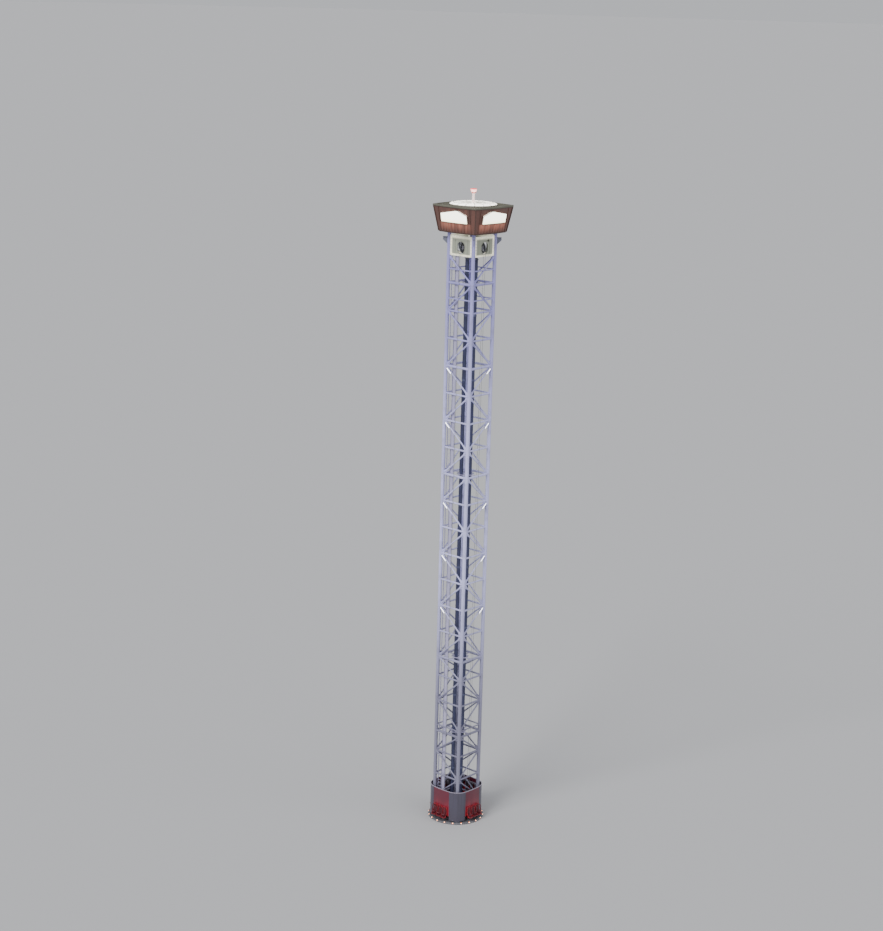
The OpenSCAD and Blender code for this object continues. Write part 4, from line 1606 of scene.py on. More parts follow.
def deliver(
    name: str,
    obj: Object,
    finish: Finishes,
    slot: str,
    body: Body = Body.TOWER,
    stands_for: Sequence[str] = (),
    angle: float = 35.0,
) -> None:
    """Finishes a new piece: name, material, shading, body and the nodes it stands for.

    Args:
        name: The piece's name.
        obj: The piece.
        finish: Its finish.
        slot: The material slot; not used.
        body: The body that it rides on.
        stands_for: The CAD nodes that it replaces.
        angle: Edges sharper than this many degrees stay sharp.
    """
    obj.name = name
    obj.data.materials.clear()
    obj.data.materials.append(finish.material)
    Bench.hold(obj)
    bpy.ops.object.shade_smooth_by_angle(angle=math.radians(angle))
    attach(obj, body.value)
    if stands_for:
        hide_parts(*stands_for)
    LOG.info("%s: %d faces on the %s", obj.name, len(obj.data.polygons), body.value)


# Shared small forms. Profiles hold the radius and the height of each corner, in metres,
# and the small sums in them are chamfers, steps and grooves.


@dataclass(frozen=True)
class Bolt:
    """A hexagon nut on a round washer, with the end of its stud standing out."""

    radius: float
    stud: bool = True

    def model(self) -> Object:
        """Models one upright bolt on z = 0.

        Returns:
            The bolt.
        """
        r = self.radius
        washer = [(1.45 * r, 0.0), (1.45 * r, 0.16 * r), (1.3 * r, 0.24 * r)]
        parts = [
            Bench.turned(washer, sides=16),
            Bench.rod((0, 0, 0.2 * r), (0, 0, 1.05 * r), r, sides=6, bevel=0.09 * r),
        ]
        if self.stud:
            end = [(0.55 * r, 0.9 * r), (0.55 * r, 1.45 * r), (0.4 * r, 1.6 * r)]
            parts.append(Bench.turned(end, sides=10))
        return Bench.join(parts)


@dataclass(frozen=True)
class Rivet:
    """A low round rivet head."""

    radius: float

    def model(self) -> Object:
        """Models one upright rivet on z = 0.

        Returns:
            The rivet.
        """
        r = self.radius
        return Bench.turned([(r, 0.0), (0.9 * r, 0.32 * r), (0.5 * r, 0.56 * r)], sides=10)


def mirrored(half: Profile) -> Profile:
    """The lower half of a profile, followed by its mirror image above z = 0."""
    return [*half, *((radius, -height) for radius, height in reversed(half))]


def dome(
    radius: float, low: float, rise: float, angles: Iterable[float], power: float = 1.0
) -> Profile:
    """The rings of a round top.

    Args:
        radius: Its radius.
        low: The height where it starts.
        rise: How much higher its middle lies.
        angles: How far up each ring is, in degrees from its edge.
        power: 1 for an ellipse, and less for a fuller form.

    Returns:
        Radius and height of each ring.
    """
    turns = [math.radians(angle) for angle in angles]
    return [(radius * math.cos(a) ** power, low + rise * math.sin(a)) for a in turns]


def fasten(
    name: str,
    small: Bolt | Rivet,
    places: Iterable[Matrix],
    slot: str,
    finish: Finishes = Finishes.ZINC,
    body: Body = Body.TOWER,
) -> None:
    """Sets many equal bolts or rivets and delivers them as one piece.

    Args:
        name: The piece's name.
        small: The bolt or rivet.
        places: Where each one goes, with Z out of the surface.
        slot: The material slot.
        finish: Their finish.
        body: The body that they ride on.
    """
    deliver(name, Bench.spread(small.model(), places), finish, slot, body)


def front_middle(reach: float) -> FaceTest:
    """A test for the face in the middle of a front that looks towards -Y.

    Args:
        reach: How far from the middle the face may lie.

    Returns:
        The test.
    """
    return lambda centre, normal: (
        normal.y < -FACING and abs(centre.x) < reach and abs(centre.z) < reach
    )


@dataclass(frozen=True)
class Seam:
    """A standing seam of sheet metal, lying along Z with its fin towards -Y."""

    length: float
    flange: float = 0.034
    fin: float = 0.012
    sheet: float = 0.005
    stand: float = 0.016

    def model(self) -> Object:
        """Models one seam from z = 0 up, with its back at y = 0.

        Returns:
            The seam.
        """
        size = (self.flange, self.sheet, self.length)
        strip = Bench.block(size, (0, -self.sheet / 2, self.length / 2))
        for side in (-1, 1):
            Bench.split(strip, (side * self.fin / 2, 0, 0), (1, 0, 0))
        Bench.push(
            strip,
            lambda centre, normal: normal.y < -FACING and abs(centre.x) < self.fin / 2,
            (0, -self.stand, 0),
        )
        return Bench.round_edges(strip, 0.0012, steps=1)


def facing(towards: Vector, along: Vector, at: Vector) -> Matrix:
    """A place whose -Y axis points one way and whose Z axis runs along another.

    Args:
        towards: Where -Y goes.
        along: Where Z goes, as nearly as it can.
        at: Where the origin goes.

    Returns:
        The matrix.
    """
    up = along.normalized()
    back = -(towards - up * towards.dot(up)).normalized()
    right = back.cross(up)
    columns = (right, back, up)
    turn = Matrix([[column[row] for column in columns] for row in range(3)]).to_4x4()
    return Matrix.Translation(at) @ turn


# Plinth and columns


@dataclass(frozen=True)
class PlinthDetails:
    """The anchors and the lamps of the plinth."""

    height: float = 0.075
    radius: float = 1.270
    bevel: float = 0.046
    anchor_circle: float = 1.180
    anchors: int = 12
    anchor_nut: float = 0.017
    lamps: int = 20
    lamp_radius: float = 0.031
    lamp_base: float = 0.009
    bezel: float = 0.0045
    lens_edge: float = 0.0075
    lens_rise: float = 0.009

    def anchor_bolts(self) -> None:
        """Nuts and washers over the anchor holes."""
        seat = shift(self.anchor_circle, 0, self.height)
        places = [turn @ seat for turn in around(self.anchors, 0.5)]
        fasten("plinth_anchor_bolts", Bolt(self.anchor_nut), places, "plinth")

    def lamp_places(self) -> list[Matrix]:
        """The seats of the lamps on the sloping edge."""
        seat = shift(self.radius - self.bevel / 2, 0, self.height - self.bevel / 2)
        return [turn @ seat @ about("Y", math.pi / 4) for turn in around(self.lamps)]

    def lamp_bezels(self) -> None:
        """A metal ring round each lamp."""
        r, top, inner = self.lamp_radius, self.lamp_base, self.lamp_radius - self.bezel
        profile = [
            (inner, HAIR),
            (r, HAIR),
            (r, top - 0.003),
            (r - 0.0015, top - 0.001),
            (inner + 0.001, top - 0.001),
            (inner, top - 0.003),
        ]
        rings = Bench.spread(Bench.ring(profile, sides=32), self.lamp_places())
        nodes = ["plinth_lamps"]
        deliver("plinth_lamp_bezels", rings, Finishes.HOUSING, "plinth_lamps", stands_for=nodes)

    def lamp_lenses(self) -> None:
        """A domed lens in each lamp, that reaches a little into its bezel."""
        r = self.lamp_radius - self.bezel + 0.0003
        rings = [(r, 0.0008), (r, self.lens_edge)]
        rings += dome(r, self.lens_edge, self.lens_rise, (20, 40, 58, 74, 84))
        lenses = Bench.spread(Bench.turned(rings, sides=28), self.lamp_places())
        deliver("plinth_lamp_lenses", lenses, Finishes.AMBER, "plinth_lamps", angle=60.0)

    def lamp_cores(self) -> None:
        """The hot middle of each lens."""
        rings = [(0.0135, 0.0130), (0.0130, 0.0165), (0.0095, 0.0178), (0.0040, 0.0184)]
        cores = Bench.spread(Bench.turned(rings, sides=20), self.lamp_places())
        deliver("plinth_lamp_cores", cores, Finishes.HOT, "plinth_lamps", angle=60.0)

    def build(self) -> None:
        """Adds all of the plinth's details."""
        self.anchor_bolts()
        self.lamp_bezels()
        self.lamp_lenses()
        self.lamp_cores()


@dataclass(frozen=True)
class TowerPlan:
    """The bays and levels of the tower, as the CAD part has them."""

    half: float = 0.702
    column_foot: float = 0.075
    bay: float = 1.217
    section_bays: int = 7
    leg_bays: tuple[float, ...] = (0.925, 1.120, 1.120, 0.960)
    foot_bays: tuple[float, ...] = (0.285, 1.195, 1.195, 0.905)
    head_wall: float = 25.945

    @property
    def leg_top(self) -> float:
        """The height of the lowest section."""
        return sum(self.leg_bays)

    @property
    def foot_top(self) -> float:
        """The height where the main sections start."""
        return self.leg_top + sum(self.foot_bays)

    @property
    def lower_top(self) -> float:
        """The height of the joint between the main sections."""
        return self.foot_top + self.section_bays * self.bay

    @property
    def upper_top(self) -> float:
        """The height where the head's open bay starts."""
        return self.lower_top + self.section_bays * self.bay

    @property
    def splices(self) -> tuple[float, float, float, float]:
        """The heights of the four heavy struts where sections join."""
        return (self.leg_top, self.foot_top, self.lower_top, self.upper_top)

    @staticmethod
    def stack(low: float, bays: Sequence[float], first: int) -> Iterable[tuple[float, float, int]]:
        """The braces of a stack of bays, each with its ends' heights and its way.

        Args:
            low: Where the stack starts.
            bays: The height of each bay.
            first: The way of the first brace, 1 or -1.

        Returns:
            The low end, the high end and the way of each brace.
        """
        for count, bay in enumerate(bays):
            yield low, low + bay, first if count % 2 == 0 else -first
            low += bay

    def braces(self) -> list[tuple[float, float, int]]:
        """All braces of a side: the low end, the high end, and 1 where it rises to the right.

        Returns:
            The braces from the lowest up.
        """
        main = [self.bay] * self.section_bays
        return [
            *self.stack(self.leg_bays[0], self.leg_bays[1:], 1),
            *self.stack(self.leg_top + self.foot_bays[0], self.foot_bays[1:], -1),
            *self.stack(self.foot_top, main, 1),
            *self.stack(self.lower_top, main, 1),
            (self.upper_top, self.head_wall - 0.030, -1),
        ]


@dataclass(frozen=True)
class ColumnFeet:
    """The bolts of the columns' foot flanges."""

    plan: TowerPlan = TowerPlan()
    flange: float = 0.030
    circle: float = 0.1175
    nut: float = 0.0115
    spread_angle: float = 24.0

    def build(self) -> None:
        """Three bolts between each two ribs of every flange."""
        middle = shift(self.plan.half, -self.plan.half, self.plan.column_foot + self.flange)
        spread = math.radians(self.spread_angle)
        places = [
            side.turn @ middle @ quarter @ about("Z", off) @ shift(self.circle, 0, 0)
            for side in Side
            for quarter in around(4)
            for off in (-spread, 0.0, spread)
        ]
        fasten("column_foot_bolts", Bolt(self.nut), places, "columns")


@dataclass(frozen=True)
class Gussets:
    """The plates between the braces and the columns."""

    plan: TowerPlan = TowerPlan()
    thickness: float = 0.010
    start: float = 0.074
    reach: float = 0.235
    width: float = 0.150
    tip: float = 0.086
    wide_share: float = 0.45

    def plate(self) -> Object:
        """One plate along +X, wide at the column and narrow at its tip.

        Returns:
            The plate, with its wide end nearer the origin.
        """
        middle = self.start + self.reach / 2
        plate = Bench.block((self.reach, self.thickness, self.width), (middle, 0, 0))
        wide_part = self.reach * self.wide_share
        drop = (self.width - self.tip) / 2
        for way in (-1, 1):
            shoulder = (self.start + wide_part, 0, way * self.width / 2)
            Bench.cut(plate, shoulder, (drop, 0, way * (self.reach - wide_part)))
        return Bench.round_edges(plate, 0.0018, steps=1)

    def places(self, side: Side) -> list[Matrix]:
        """The place of each plate on one side, at both ends of every brace.

        Args:
            side: The side.

        Returns:
            The places.
        """
        half = self.plan.half
        found = []
        for low, high, way in self.plan.braces():
            slope = math.atan2(high - low, 2 * half)
            for height, sign, turn in ((low, way, -slope), (high, -way, slope)):
                flip = Matrix.Scale(sign, 4, (1, 0, 0))
                lean = about("Y", turn)
                found.append(shift(-sign * half, -half, height) @ flip @ lean)
        mirror = Matrix.Scale(-1 if side.value % 2 else 1, 4, (1, 0, 0))
        return [side.turn @ mirror @ place for place in found]

    def build(self) -> None:
        """Adds the plates of all four sides."""
        for side in Side:
            plates = Bench.spread(self.plate(), self.places(side))
            deliver(f"lattice_gussets_{side.word}", plates, Finishes.LATTICE, "lattice")


# Cylinders and sheaves


@dataclass(frozen=True)
class CylinderDetails:
    """The flange bolts and the pipe couplings of the air cylinders."""

    plan: TowerPlan = TowerPlan()
    off_axis: float = 0.270
    radius: float = 0.075
    flange: float = 0.024
    low: float = 0.615
    high: float = 25.795
    bolts: int = 8
    circle: float = 0.0870
    nut: float = 0.0072
    coupling_pitch: float = 2.6
    coupling_height: float = 0.085
    coupling_wall: float = 0.010

    def flange_bolts(self) -> None:
        """Bolts round both flanges of every cylinder."""
        ends = [
            shift(0, 0, self.low + self.flange),
            shift(0, 0, self.high - self.flange) @ about("X", math.pi),
        ]
        places = [
            side.turn @ shift(0, -self.off_axis, 0) @ end @ turn @ shift(self.circle, 0, 0)
            for side in Side
            for end in ends
            for turn in around(self.bolts)
        ]
        fasten("cylinder_flange_bolts", Bolt(self.nut), places, "cylinders")

    def coupling_heights(self) -> list[float]:
        """Heights between the flanges and the braces, in even steps.

        Returns:
            The heights.
        """
        stops = [self.low, *self.plan.splices]
        heights = []
        for start, end in zip(stops, stops[1:]):
            count = max(1, round((end - start) / self.coupling_pitch))
            heights += [start + (end - start) * (k + 0.5) / count for k in range(count)]
        return heights

    def couplings(self) -> None:
        """The sleeves where the cylinders' tubes join."""
        r, tall, out = self.radius, self.coupling_height / 2, self.coupling_wall
        profile = mirrored(
            [
                (r, -tall),
                (r + out * 0.7, -tall),
                (r + out, -tall + 0.006),
                (r + out, -0.008),
                (r + out * 0.6, -0.004),
            ]
        )
        places = [
            side.turn @ shift(0, -self.off_axis, height)
            for side in Side
            for height in self.coupling_heights()
        ]
        sleeves = Bench.spread(Bench.ring(profile, sides=40), places)
        deliver("cylinder_couplings", sleeves, Finishes.COUPLING, "cylinders")

    def build(self) -> None:
        """Adds all of the cylinders' details."""
        self.flange_bolts()
        self.couplings()


@dataclass(frozen=True)
class SheaveBearings:
    """The bearing flanges on the cheeks of the sheaves, with their bolts."""

    off_axis: float = 0.520
    cheek_face: float = 0.045
    axle: float = 0.030
    outer: float = 0.056
    depth: float = 0.010
    bolts: int = 6
    nut: float = 0.0052
    heights: tuple[float, float] = (0.365, 26.305)
    slot: str = "sheave_frames"

    def faces(self, height: float) -> list[Matrix]:
        """The outer face of each cheek at one height.

        Args:
            height: The axle's height.

        Returns:
            The faces, with Z out of the cheek.
        """
        return [
            side.turn
            @ shift(0, -self.off_axis, height)
            @ about("Y", way * math.pi / 2)
            @ shift(0, 0, self.cheek_face)
            for side in Side
            for way in (-1, 1)
        ]

    def build(self) -> None:
        """Adds the flanges and the bolts, below and above."""
        profile = [
            (self.axle + HAIR, 0.0),
            (self.outer, 0.0),
            (self.outer, self.depth * 0.55),
            (self.outer - 0.006, self.depth * 0.7),
            (self.axle + 0.008, self.depth),
            (self.axle + HAIR, self.depth),
        ]
        circle = (self.axle + self.outer) / 2 + 0.003
        for word, height in zip(("base", "head"), self.heights):
            faces = self.faces(height)
            rings = Bench.spread(Bench.ring(profile, sides=36), faces)
            deliver(f"{word}_bearing_flanges", rings, Finishes.CAST, self.slot)
            places = [
                face @ turn @ shift(circle, 0, self.depth * 0.7)
                for face in faces
                for turn in around(self.bolts)
            ]
            fasten(f"{word}_bearing_bolts", Bolt(self.nut, stud=False), places, self.slot)


# Head and crown


@dataclass(frozen=True)
class HeadDetails:
    """The bolts of the head walls, the screws round their openings and the port's ring."""

    low: float = 25.945
    height: float = 0.870
    plate_face: float = 0.712
    border_face: float = 0.726
    border_half: float = 0.6047
    border: float = 0.070
    nut: float = 0.0085
    across: int = 8
    upright: int = 5
    slot_radius: float = 0.215
    slot_rise: float = 0.045
    slot_middle: float = 0.360
    collar: float = 0.026
    screws: int = 9
    screw: float = 0.006
    port_x: float = 0.2357
    port_z: float = 0.670
    port_radius: float = 0.060

    def face(self, side: Side, x: float, z: float, out: float) -> Matrix:
        """A place on a head wall whose +Z axis points out of the wall."""
        return side.turn @ shift(x, -out, self.low + z) @ about("X", math.pi / 2)

    def border_bolts(self) -> None:
        """Bolts along the raised borders."""
        reach = self.border_half - self.border / 2
        low, high = self.border / 2, self.height - self.border / 2
        spots = [(x, z) for x in even(-reach, reach, self.across) for z in (low, high)]
        inner = even(low, high, self.upright + 2)[1:-1]
        spots += [(x, z) for z in inner for x in (-reach, reach)]
        places = [self.face(side, x, z, self.border_face) for side in Side for x, z in spots]
        bolt = Bolt(self.nut, stud=False)
        fasten("head_wall_bolts", bolt, places, "head_walls", Finishes.BRACKET)

    def collar_screws(self) -> None:
        """Screws on the raised collars round the sheave openings."""
        circle = self.slot_radius + self.collar / 2
        spots = []
        for way in (-1, 1):
            for k in range(self.screws):
                angle = math.pi * (k + 0.5) / self.screws
                x = circle * math.cos(angle)
                z = self.slot_middle + way * (self.slot_rise + circle * math.sin(angle))
                spots.append((x, z))
        places = [self.face(side, x, z, self.border_face) for side in Side for x, z in spots]
        screw = Rivet(self.screw)
        fasten("head_collar_screws", screw, places, "head_walls", Finishes.BRACKET)

    def port_rings(self) -> None:
        """The rings round the ports, on the two sides that have one."""
        r = self.port_radius
        profile = [
            (r, -0.004),
            (r + 0.020, -0.004),
            (r + 0.020, 0.006),
            (r + 0.014, 0.011),
            (r + 0.004, 0.011),
            (r, 0.008),
        ]
        places = [
            self.face(side, self.port_x, self.port_z, self.plate_face)
            for side in (Side.RIGHT, Side.LEFT)
        ]
        rings = Bench.spread(Bench.ring(profile, sides=40), places)
        deliver("head_port_rings", rings, Finishes.CREAM, "head_walls")

    def build(self) -> None:
        """Adds all of the head's details."""
        self.border_bolts()
        self.collar_screws()
        self.port_rings()


@dataclass(frozen=True)
class CrownShape:
    """The crown's leaning round walls, each part of a cone."""

    base: float = 26.945
    height: float = 1.150
    top_half: float = 1.209
    low_half: float = 1.018
    bulge: float = 0.120

    @property
    def arc_top(self) -> float:
        """The radius of a wall at the top."""
        return self.top_half**2 / (2 * self.bulge) + self.bulge / 2

    @property
    def axis(self) -> float:
        """The distance of a wall's axis behind the tower's axis."""
        return self.arc_top - self.top_half - self.bulge

    @property
    def arc_low(self) -> float:
        """The radius of a wall at the bottom."""
        return math.sqrt(((2 * self.low_half + self.axis) ** 2 + self.axis**2) / 2)

    def radius(self, z: float) -> float:
        """The radius of a wall at height z."""
        return self.arc_low + (self.arc_top - self.arc_low) * (z - self.base) / self.height

    def at(self, x: float, z: float, out: float = 0.0) -> Vector:
        """A point of the front wall.

        Args:
            x: How far it lies to the right.
            z: Its height.
            out: How far it stands in front of the wall.

        Returns:
            The point.
        """
        r = self.radius(z) + out
        return Vector((x, self.axis - math.sqrt(r * r - x * x), z))

    def outward(self, x: float, z: float) -> Vector:
        """The direction out of the front wall at a point.

        Args:
            x: How far the point lies to the right of the wall's middle.
            z: Its height.

        Returns:
            A direction of length 1.
        """
        point = self.at(x, z)
        slope = (self.arc_top - self.arc_low) / self.height
        level = Vector((point.x, point.y - self.axis, 0.0)).normalized()
        return (level - Vector((0, 0, slope))).normalized()


@dataclass(frozen=True)
class SignOutline:
    """The outline of a light box on a crown wall."""

    rise: float = 0.440
    width: float = 1.520
    height: float = 0.565
    inner: float = 0.350
    outer: float = 0.385
    peak: float = 0.500
    corner: float = 0.060

    def corners(self) -> list[tuple[float, float]]:
        """The outline's points, with arcs at the lower corners, from the lower left one.

        Returns:
            The points as x and z.
        """
        half, r = self.width / 2, self.corner
        arcs = []
        for way, start in ((-1, 180), (1, 270)):
            for step in range(5):
                angle = math.radians(start + 22.5 * step)
                arcs.append((way * (half - r) + r * math.cos(angle), r + r * math.sin(angle)))
        return [
            *arcs,
            (half, self.inner),
            (half - self.peak, self.height),
            (-half, self.outer),
        ]

    def chain(self, longest: float = 0.12) -> list[tuple[float, float]]:
        """The closed outline in short steps.

        Args:
            longest: The longest step.

        Returns:
            Its points.
        """
        corners = self.corners()
        points = []
        for start, end in zip(corners, [*corners[1:], corners[0]]):
            steps = max(1, math.ceil(math.dist(start, end) / longest))
            for k in range(steps):
                at = Vector(start).lerp(Vector(end), k / steps)
                points.append((at.x, at.y))
        return points


@dataclass(frozen=True)
class CrownDetails:
    """The seams and bands of the crown's walls and the frames of its light boxes."""

    shape: CrownShape = CrownShape()
    sign: SignOutline = SignOutline()
    soffit: float = 0.025
    roof: float = 0.040
    stand: float = 0.046
    bar: float = 0.011
    band: float = 0.030
    band_depth: float = 0.022
    band_out: float = 0.005
    band_end: float = 0.012
    seam_step: float = 1.66
    seam_gap: float = 0.034
    short_seams: int = 9
    outer_seam: float = 8.35

    def seam_place(self, degrees: float, low: float) -> Matrix:
        """The place of a seam that starts on the front wall at height low.

        Args:
            degrees: Where the seam stands, as an angle about the wall's axis.
            low: The height of its lower end.

        Returns:
            Its place, with Z along the seam.
        """
        x = self.shape.radius(low) * math.sin(math.radians(degrees))
        start = self.shape.at(x, low)
        top = low + 0.5
        end = self.shape.at(x * self.shape.radius(top) / self.shape.radius(low), top)
        return facing(self.shape.outward(x, low), end - start, start)

    def wall_seams(self) -> None:
        """Short seams under each light box and a long one on either side of it."""
        low = self.shape.base + self.soffit + self.seam_gap
        lean = (self.shape.arc_top - self.shape.arc_low) / self.shape.height
        stretch = math.hypot(1.0, lean)
        sign_low = self.shape.base + self.sign.rise - self.bar - 0.006
        top = self.shape.base + self.shape.height - self.roof - self.seam_gap
        first = -(self.short_seams - 1) / 2
        short = [self.seam_step * (first + k) for k in range(self.short_seams)]
        runs = (("short", short, sign_low), ("long", (-self.outer_seam, self.outer_seam), top))
        for word, angles, high in runs:
            length = (high - low) * stretch
            for side in Side:
                places = [side.turn @ self.seam_place(angle, low) for angle in angles]
                seams = Bench.spread(Seam(length).model(), places)
                deliver(f"crown_{word}_seams_{side.word}", seams, Finishes.COPPER, "crown_walls")

    def bands(self) -> None:
        """A folded band along the lower and the upper edge of each wall."""
        size, shape = self.band, self.shape
        low = shape.base + self.soffit + size / 2 + 0.001
        top = shape.base + shape.height - self.roof - size / 2 - 0.001
        for word, z, half_wall in (
            ("lower", low, shape.low_half),
            ("upper", top, shape.top_half),
        ):
            radius = shape.radius(z)
            half_angle = math.asin((half_wall - self.band_end) / radius)
            section = (self.band_depth, size)
            band = Bench.arc(section, radius + self.band_out, 2 * half_angle, steps=24)
            Bench.round_edges(band, 0.004)
            place = shift(0, shape.axis, z) @ about("Z", -math.pi / 2 - half_angle)
            bands = Bench.spread(band, [side.turn @ place for side in Side])
            deliver(f"crown_{word}_bands", bands, Finishes.TRIM, "crown_trim")

    def sign_frames(self) -> None:
        """A round bar along the outline of each light box."""
        low = self.shape.base + self.sign.rise
        outline = self.sign.chain()
        for side in Side:
            flip = -1 if side.value % 2 else 1
            points = [self.shape.at(flip * x, low + z, self.stand) for x, z in outline]
            bars = [
                Bench.rod(start, end + (end - start).normalized() * 0.004, self.bar, sides=10)
                for start, end in zip(points, [*points[1:], points[0]])
            ]
            frame_bars = Bench.place(Bench.join(bars), side.turn)
            deliver(f"light_box_frame_{side.word}", frame_bars, Finishes.TRIM, "light_boxes")

    def build(self) -> None:
        """Adds all of the crown's details."""
        self.wall_seams()
        self.bands()
        self.sign_frames()


@dataclass(frozen=True)
class RoofDetails:
    """The roof's seams, the glazing bars of its round light, and the mast's bolts."""

    roof: float = 28.095
    light_radius: float = 1.020
    light_height: float = 0.110
    light_hole: float = 0.115
    bars: int = 16
    bar_width: float = 0.022
    bar_height: float = 0.009
    slope_run: float = 0.140
    slope: tuple[Point, Point] = ((0.090, 0, -0.022), (0.048, 0, -0.037))
    ring_radii: tuple[float, float, float] = (0.14, 0.51, 0.86)
    seam_start: float = 1.075
    seam_limit: float = 1.120
    seam_stand: float = 0.012
    seam_angles: tuple[float, ...] = (-26.0, -13.0, 0.0, 13.0, 26.0)
    mast_flange: float = 0.016
    mast_circle: float = 0.082
    mast_bolts: int = 8
    mast_nut: float = 0.0085

    def seams(self) -> None:
        """Standing seams from the round light to the corners' rims."""
        made = []
        for angle in self.seam_angles:
            reach = self.seam_limit / math.cos(math.radians(45 - abs(angle)))
            strip = Seam(reach - self.seam_start, stand=self.seam_stand).model()
            heading = about("Z", math.radians(angle - 135))
            lay = shift(0, self.seam_start, self.roof) @ about("X", -math.pi / 2)
            made.append(Bench.spread(strip, [side.turn @ heading @ lay for side in Side]))
        deliver("roof_seams", Bench.join(made), Finishes.ROOF, "crown_roof")

    def glazing_bars(self) -> None:
        """Bars that run from the mast over the round light and down its slope."""
        top = self.light_height + self.bar_height / 2 - 0.002
        flat_end = self.light_radius - self.slope_run
        start = self.light_hole + 0.020
        length = flat_end - start
        bar = Bench.block(
            (length, self.bar_width, self.bar_height), (start + length / 2, 0, top)
        )
        for by in self.slope:
            reach = max(v.co.x for v in bar.data.vertices)
            Bench.push(bar, lambda centre, normal, x=reach: centre.x > x - 1e-4, by)
        Bench.round_edges(bar, 0.002, steps=1)
        places = [turn @ shift(0, 0, self.roof) for turn in around(self.bars)]
        bars = Bench.spread(bar, places)
        deliver("roof_glazing_bars", bars, Finishes.ROOF, "roof_light")

    def light_rings(self) -> None:
        """The round light's outer kerb and the rings that cross its bars."""
        r, top = self.light_radius, self.light_height
        kerb = [
            (r + HAIR, 0.0),
            (r + 0.026, 0.0),
            (r + 0.026, 0.030),
            (r + 0.014, 0.050),
            (r + HAIR, 0.053),
        ]
        parts = [Bench.ring(kerb, sides=96)]
        wide, narrow = self.bar_width / 2 - 0.001, self.bar_width / 2 - 0.004
        for middle in self.ring_radii:
            band = [
                (middle - wide, top - 0.001),
                (middle + wide, top - 0.001),
                (middle + narrow, top + 0.006),
                (middle - narrow, top + 0.006),
            ]
            parts.append(Bench.ring(band, sides=96))
        rings = Bench.place(Bench.join(parts), shift(0, 0, self.roof))
        deliver("roof_light_rings", rings, Finishes.ROOF, "roof_light")

    def mast_foot(self) -> None:
        """The bolts of the mast's foot flange."""
        seat = shift(self.mast_circle, 0, self.roof + self.mast_flange)
        places = [turn @ seat for turn in around(self.mast_bolts, 0.5)]
        fasten("mast_foot_bolts", Bolt(self.mast_nut), places, "mast")

    def build(self) -> None:
        """Adds all of the roof's details."""
        self.seams()
        self.glazing_bars()
        self.light_rings()
        self.mast_foot()


@dataclass(frozen=True)
class Beacon:
    """The red beacon on the mast: a cast foot, a ribbed lens, guards and a cap.

    The guards' hoops have their height and their radius as shares of the beacon's own.
    """

    low: float = 28.595
    height: float = 0.200
    radius: float = 0.145
    ribs: int = 9
    hoops: Profile = ((0.34, 0.90), (0.58, 0.985), (0.80, 0.985))

    def foot(self) -> None:
        """The cup that holds the lens."""
        r, tall = self.radius, self.height
        rings = [
            (r * 0.50, 0.0),
            (r * 0.52, tall * 0.06),
            (r * 0.60, tall * 0.10),
            (r * 0.64, tall * 0.20),
            (r * 0.60, tall * 0.23),
        ]
        cup = Bench.turned(rings, sides=48)
        Bench.place(cup, shift(0, 0, self.low))
        deliver("beacon_foot", cup, Finishes.BEACON_RED, "beacon", stands_for=["beacon"])

    def lens(self) -> None:
        """The flared lens with rings round it."""
        r, tall = self.radius, self.height
        start, end = tall * 0.22, tall * 0.88
        rings = [(r * 0.58, start)]
        steps = 2 * self.ribs
        for k in range(steps + 1):
            share = k / steps
            wide = r * (0.62 + 0.30 * math.sin(min(1.0, share * 1.6) * math.pi / 2))
            groove = 0.0045 if k % 2 else 0.0
            rings.append((wide - groove, start + (end - start) * (0.04 + 0.96 * share)))
        lens = Bench.turned(rings, sides=48)
        Bench.place(lens, shift(0, 0, self.low))
        deliver("beacon_lens", lens, Finishes.BEACON_CORE, "beacon", angle=25.0)

    def guards(self) -> None:
        """Three red rings round the lens, on four upright rods."""
        r, tall = self.radius, self.height
        parts = []
        for height, wide in self.hoops:
            z, out = tall * height, r * wide
            inner, low, high = out - 0.006, z - 0.004, z + 0.004
            band = [(inner, low), (out, low), (out, high), (inner, high)]
            parts.append(Bench.ring(band, sides=48))
        for side in Side:
            low, high = (0, -r * 0.62, tall * 0.18), (0, -r * 0.965, tall * 0.90)
            parts.append(Bench.place(Bench.rod(low, high, 0.004, sides=10), side.turn))
        guards = Bench.place(Bench.join(parts), shift(0, 0, self.low))
        deliver("beacon_guards", guards, Finishes.BEACON_RED, "beacon")

    def cap(self) -> None:
        """The low dome on top of the lens."""
        r, tall = self.radius * 0.99, self.height
        rings = [(r, tall * 0.87), (r, tall * 0.90)]
        rings += dome(r, tall * 0.90, tall * 0.10, (15, 32, 50, 66, 80), power=0.6)
        cap = Bench.turned(rings, sides=48)
        Bench.place(cap, shift(0, 0, self.low))
        deliver("beacon_cap", cap, Finishes.BEACON, "beacon", angle=50.0)

    def build(self) -> None:
        """Adds all of the beacon's parts."""
        self.foot()
        self.lens()
        self.guards()
        self.cap()


# Flood lights


